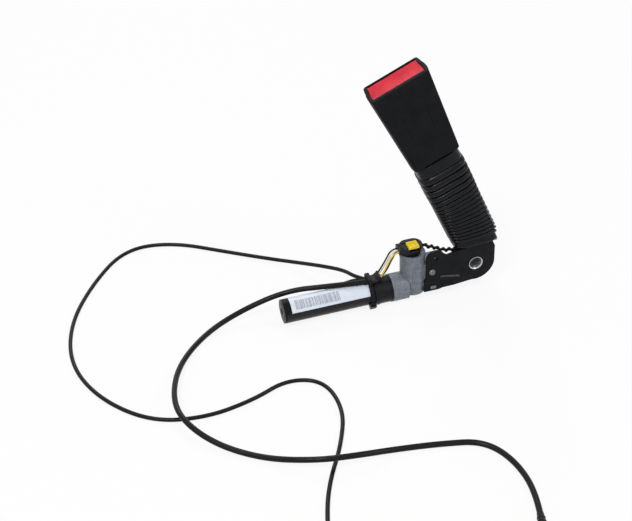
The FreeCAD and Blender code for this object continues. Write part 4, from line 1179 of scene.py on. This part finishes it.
def make_cast_lump():
    """Rounded boss low on the right of the tower."""
    half_w, half_h = 3.0, 4.6
    centre = Vector((TOWER_X + 8.4, -6.6, -12.6))
    bm = bmesh.new()
    bmesh.ops.create_icosphere(bm, subdivisions=4, radius=1.0)
    for v in bm.verts:
        swell = 1.0 + 0.06 * noise.noise(v.co * 2.0)
        v.co = Vector((v.co.x * half_w, v.co.y * half_w, v.co.z * half_h)) * swell
        v.co += centre
        v.co *= MM
    from_bmesh("housing_side_boss", bm, materials["cast"], "cast_grey", "base", sharp=60)


def disc(bm, centre, direction, radius, height, sides=24):
    """A low rounded disc on a surface, from rings at shares of its radius and height."""
    turn = direction.to_track_quat("Z", "Y").to_matrix().to_4x4()
    rows = []
    for scale, level in ((1.0, -0.4), (1.0, 0.5), (0.93, 0.85), (0.8, 1.0)):
        row = []
        for k in range(sides):
            a = 2 * math.pi * k / sides
            flat = radius * scale
            local = Vector((flat * math.cos(a), flat * math.sin(a), height * level))
            row.append(bm.verts.new(Matrix.Translation(centre) @ turn @ local))
        rows.append(row)
    for a, b in zip(rows, rows[1:]):
        for k in range(sides):
            n = (k + 1) % sides
            bm.faces.new((a[k], a[n], b[n], b[k]))
    bm.faces.new(rows[-1])
    bm.faces.new(list(reversed(rows[0])))


def make_pin_marks():
    """Round marks left by the ejector pins of the casting die."""
    mark_r, mark_height = 1.6, 0.18
    bm = bmesh.new()
    for turn, z in ((262, -2.0), (222, -8.0), (272, -16.5)):
        a = math.radians(turn)
        out = Vector((math.cos(a), math.sin(a), 0.0))
        disc(bm, at(TOWER_X, 0, z) + out * TOWER_R * MM, out, mark_r * MM, mark_height * MM)
    from_bmesh("housing_pin_marks", bm, materials["cast"], "cast_grey", "base")


def make_bead_highlights():
    """Lighter lines along the edges of the bracket's bead: painted highlight where the bead catches
    the light.
    """
    slope, length, half_gap, steps = math.radians(-11.0), 18.0, 0.55, 6
    run = Vector((math.cos(slope), 0, math.sin(slope))) * length * MM
    lines = []
    for lift in (-half_gap, half_gap):
        start = at(-32.6, -11.58, -6.0 + lift)
        lines.append([start + run * (i / steps) for i in range(steps + 1)])
    # Lighter wires: painted highlight along the bead's two edges.
    wire_curve("bracket_bead_highlight_lines", lines, LINE_R * MM, materials["rivet"], "bracket_black",
               "base", 1)


def make_lead_tape():
    """Tape that gathers the plug's leads where they run under the tie."""
    half_thin, half_broad, sides, laps_every, step = 1.5, 5.5, 20, 6.0, 0.0004
    points = [at(-84.2, 0.6, 1.2), at(-87.2, 0.6, -2.4), at(-90.0, 0.5, TIE_LEAD_Z + 0.1),
              at(-93.4, 0.4, TIE_LEAD_Z)]
    guide = route_curve("lead_tape_line", points, 1.0 * MM, materials["sleeve"], "cord_black")
    line = line_of(guide)
    bpy.data.objects.remove(guide)
    stations = walk_all(line, step)
    verts = []
    for i, (centre, direction) in enumerate(stations):
        lap = 0.3 * (0.18 * math.sin(2 * math.pi * i / laps_every) + 0.1)
        up = Vector((0, 1, 0)).cross(direction).normalized()
        for k in range(sides):
            turn = 2 * math.pi * k / sides
            thin, broad = rounded_section(half_thin + lap, half_broad + lap, turn)
            verts.append(centre + (up * thin + Vector((0, broad, 0))) * MM)
    faces = ring_faces(len(stations), sides) + end_faces(len(stations), sides)
    new_mesh("lead_tape", verts, faces, materials["sleeve"], "cord_black", "base", sharp=60)


def make_tower_rim():
    """Raised lip of the casting round the foot of the plug, with two fine darker rings: painted
    groove shade.
    """
    sides, groove_shade_r = 72, 0.13
    profile = [(TOWER_R - 0.3, 14.3), (TOWER_R + 0.35, 14.9), (TOWER_R + 0.4, 17.9),
               (TOWER_R + 0.1, 18.5), (TOWER_R - 0.5, 18.6), (TOWER_R - 0.9, 17.9)]
    verts, faces = [], []
    for k in range(sides):
        a = 2 * math.pi * k / sides
        verts += [at(TOWER_X + r * math.cos(a), r * math.sin(a), z) for r, z in profile]
    count = len(profile)
    for k in range(sides):
        n = (k + 1) % sides
        for i in range(count):
            j = (i + 1) % count
            faces.append((k * count + i, n * count + i, n * count + j, k * count + j))
    new_mesh("housing_rim", verts, faces, materials["cast"], "cast_grey", "base", sharp=35)
    # Darker wire rings: painted shade where two fine grooves would be.
    grooves = [tower_arc(14.15, TOWER_R + 0.02, 180, 360, 48),
               tower_arc(16.4, TOWER_R + 0.38, 180, 360, 48)]
    wire_curve("housing_rim_groove_shade", grooves, groove_shade_r * MM, materials["rivet"], "cast_grey",
               "base", 1)


def make_second_core():
    """Second core of the thick cord, which joins its sheath a little way from the tie."""
    core_r = 1.3
    points = [at(-95.2, 1.9, TUBE_TOP_Z + 1.6), at(-104.0, 5.6, TUBE_TOP_Z + 2.2),
              at(-112.0, 5.2, TUBE_TOP_Z + 1.5), at(-124.0, 3.4, TUBE_TOP_Z + 1.2)]
    core = route_curve("thick_cord_core", points, core_r * MM, materials["cord"], "cord_black")
    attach(core, "base")


make_parting_shade_and_ribs()
make_cast_lump()
make_pin_marks()
make_bead_highlights()
make_lead_tape()
make_tower_rim()
make_second_core()
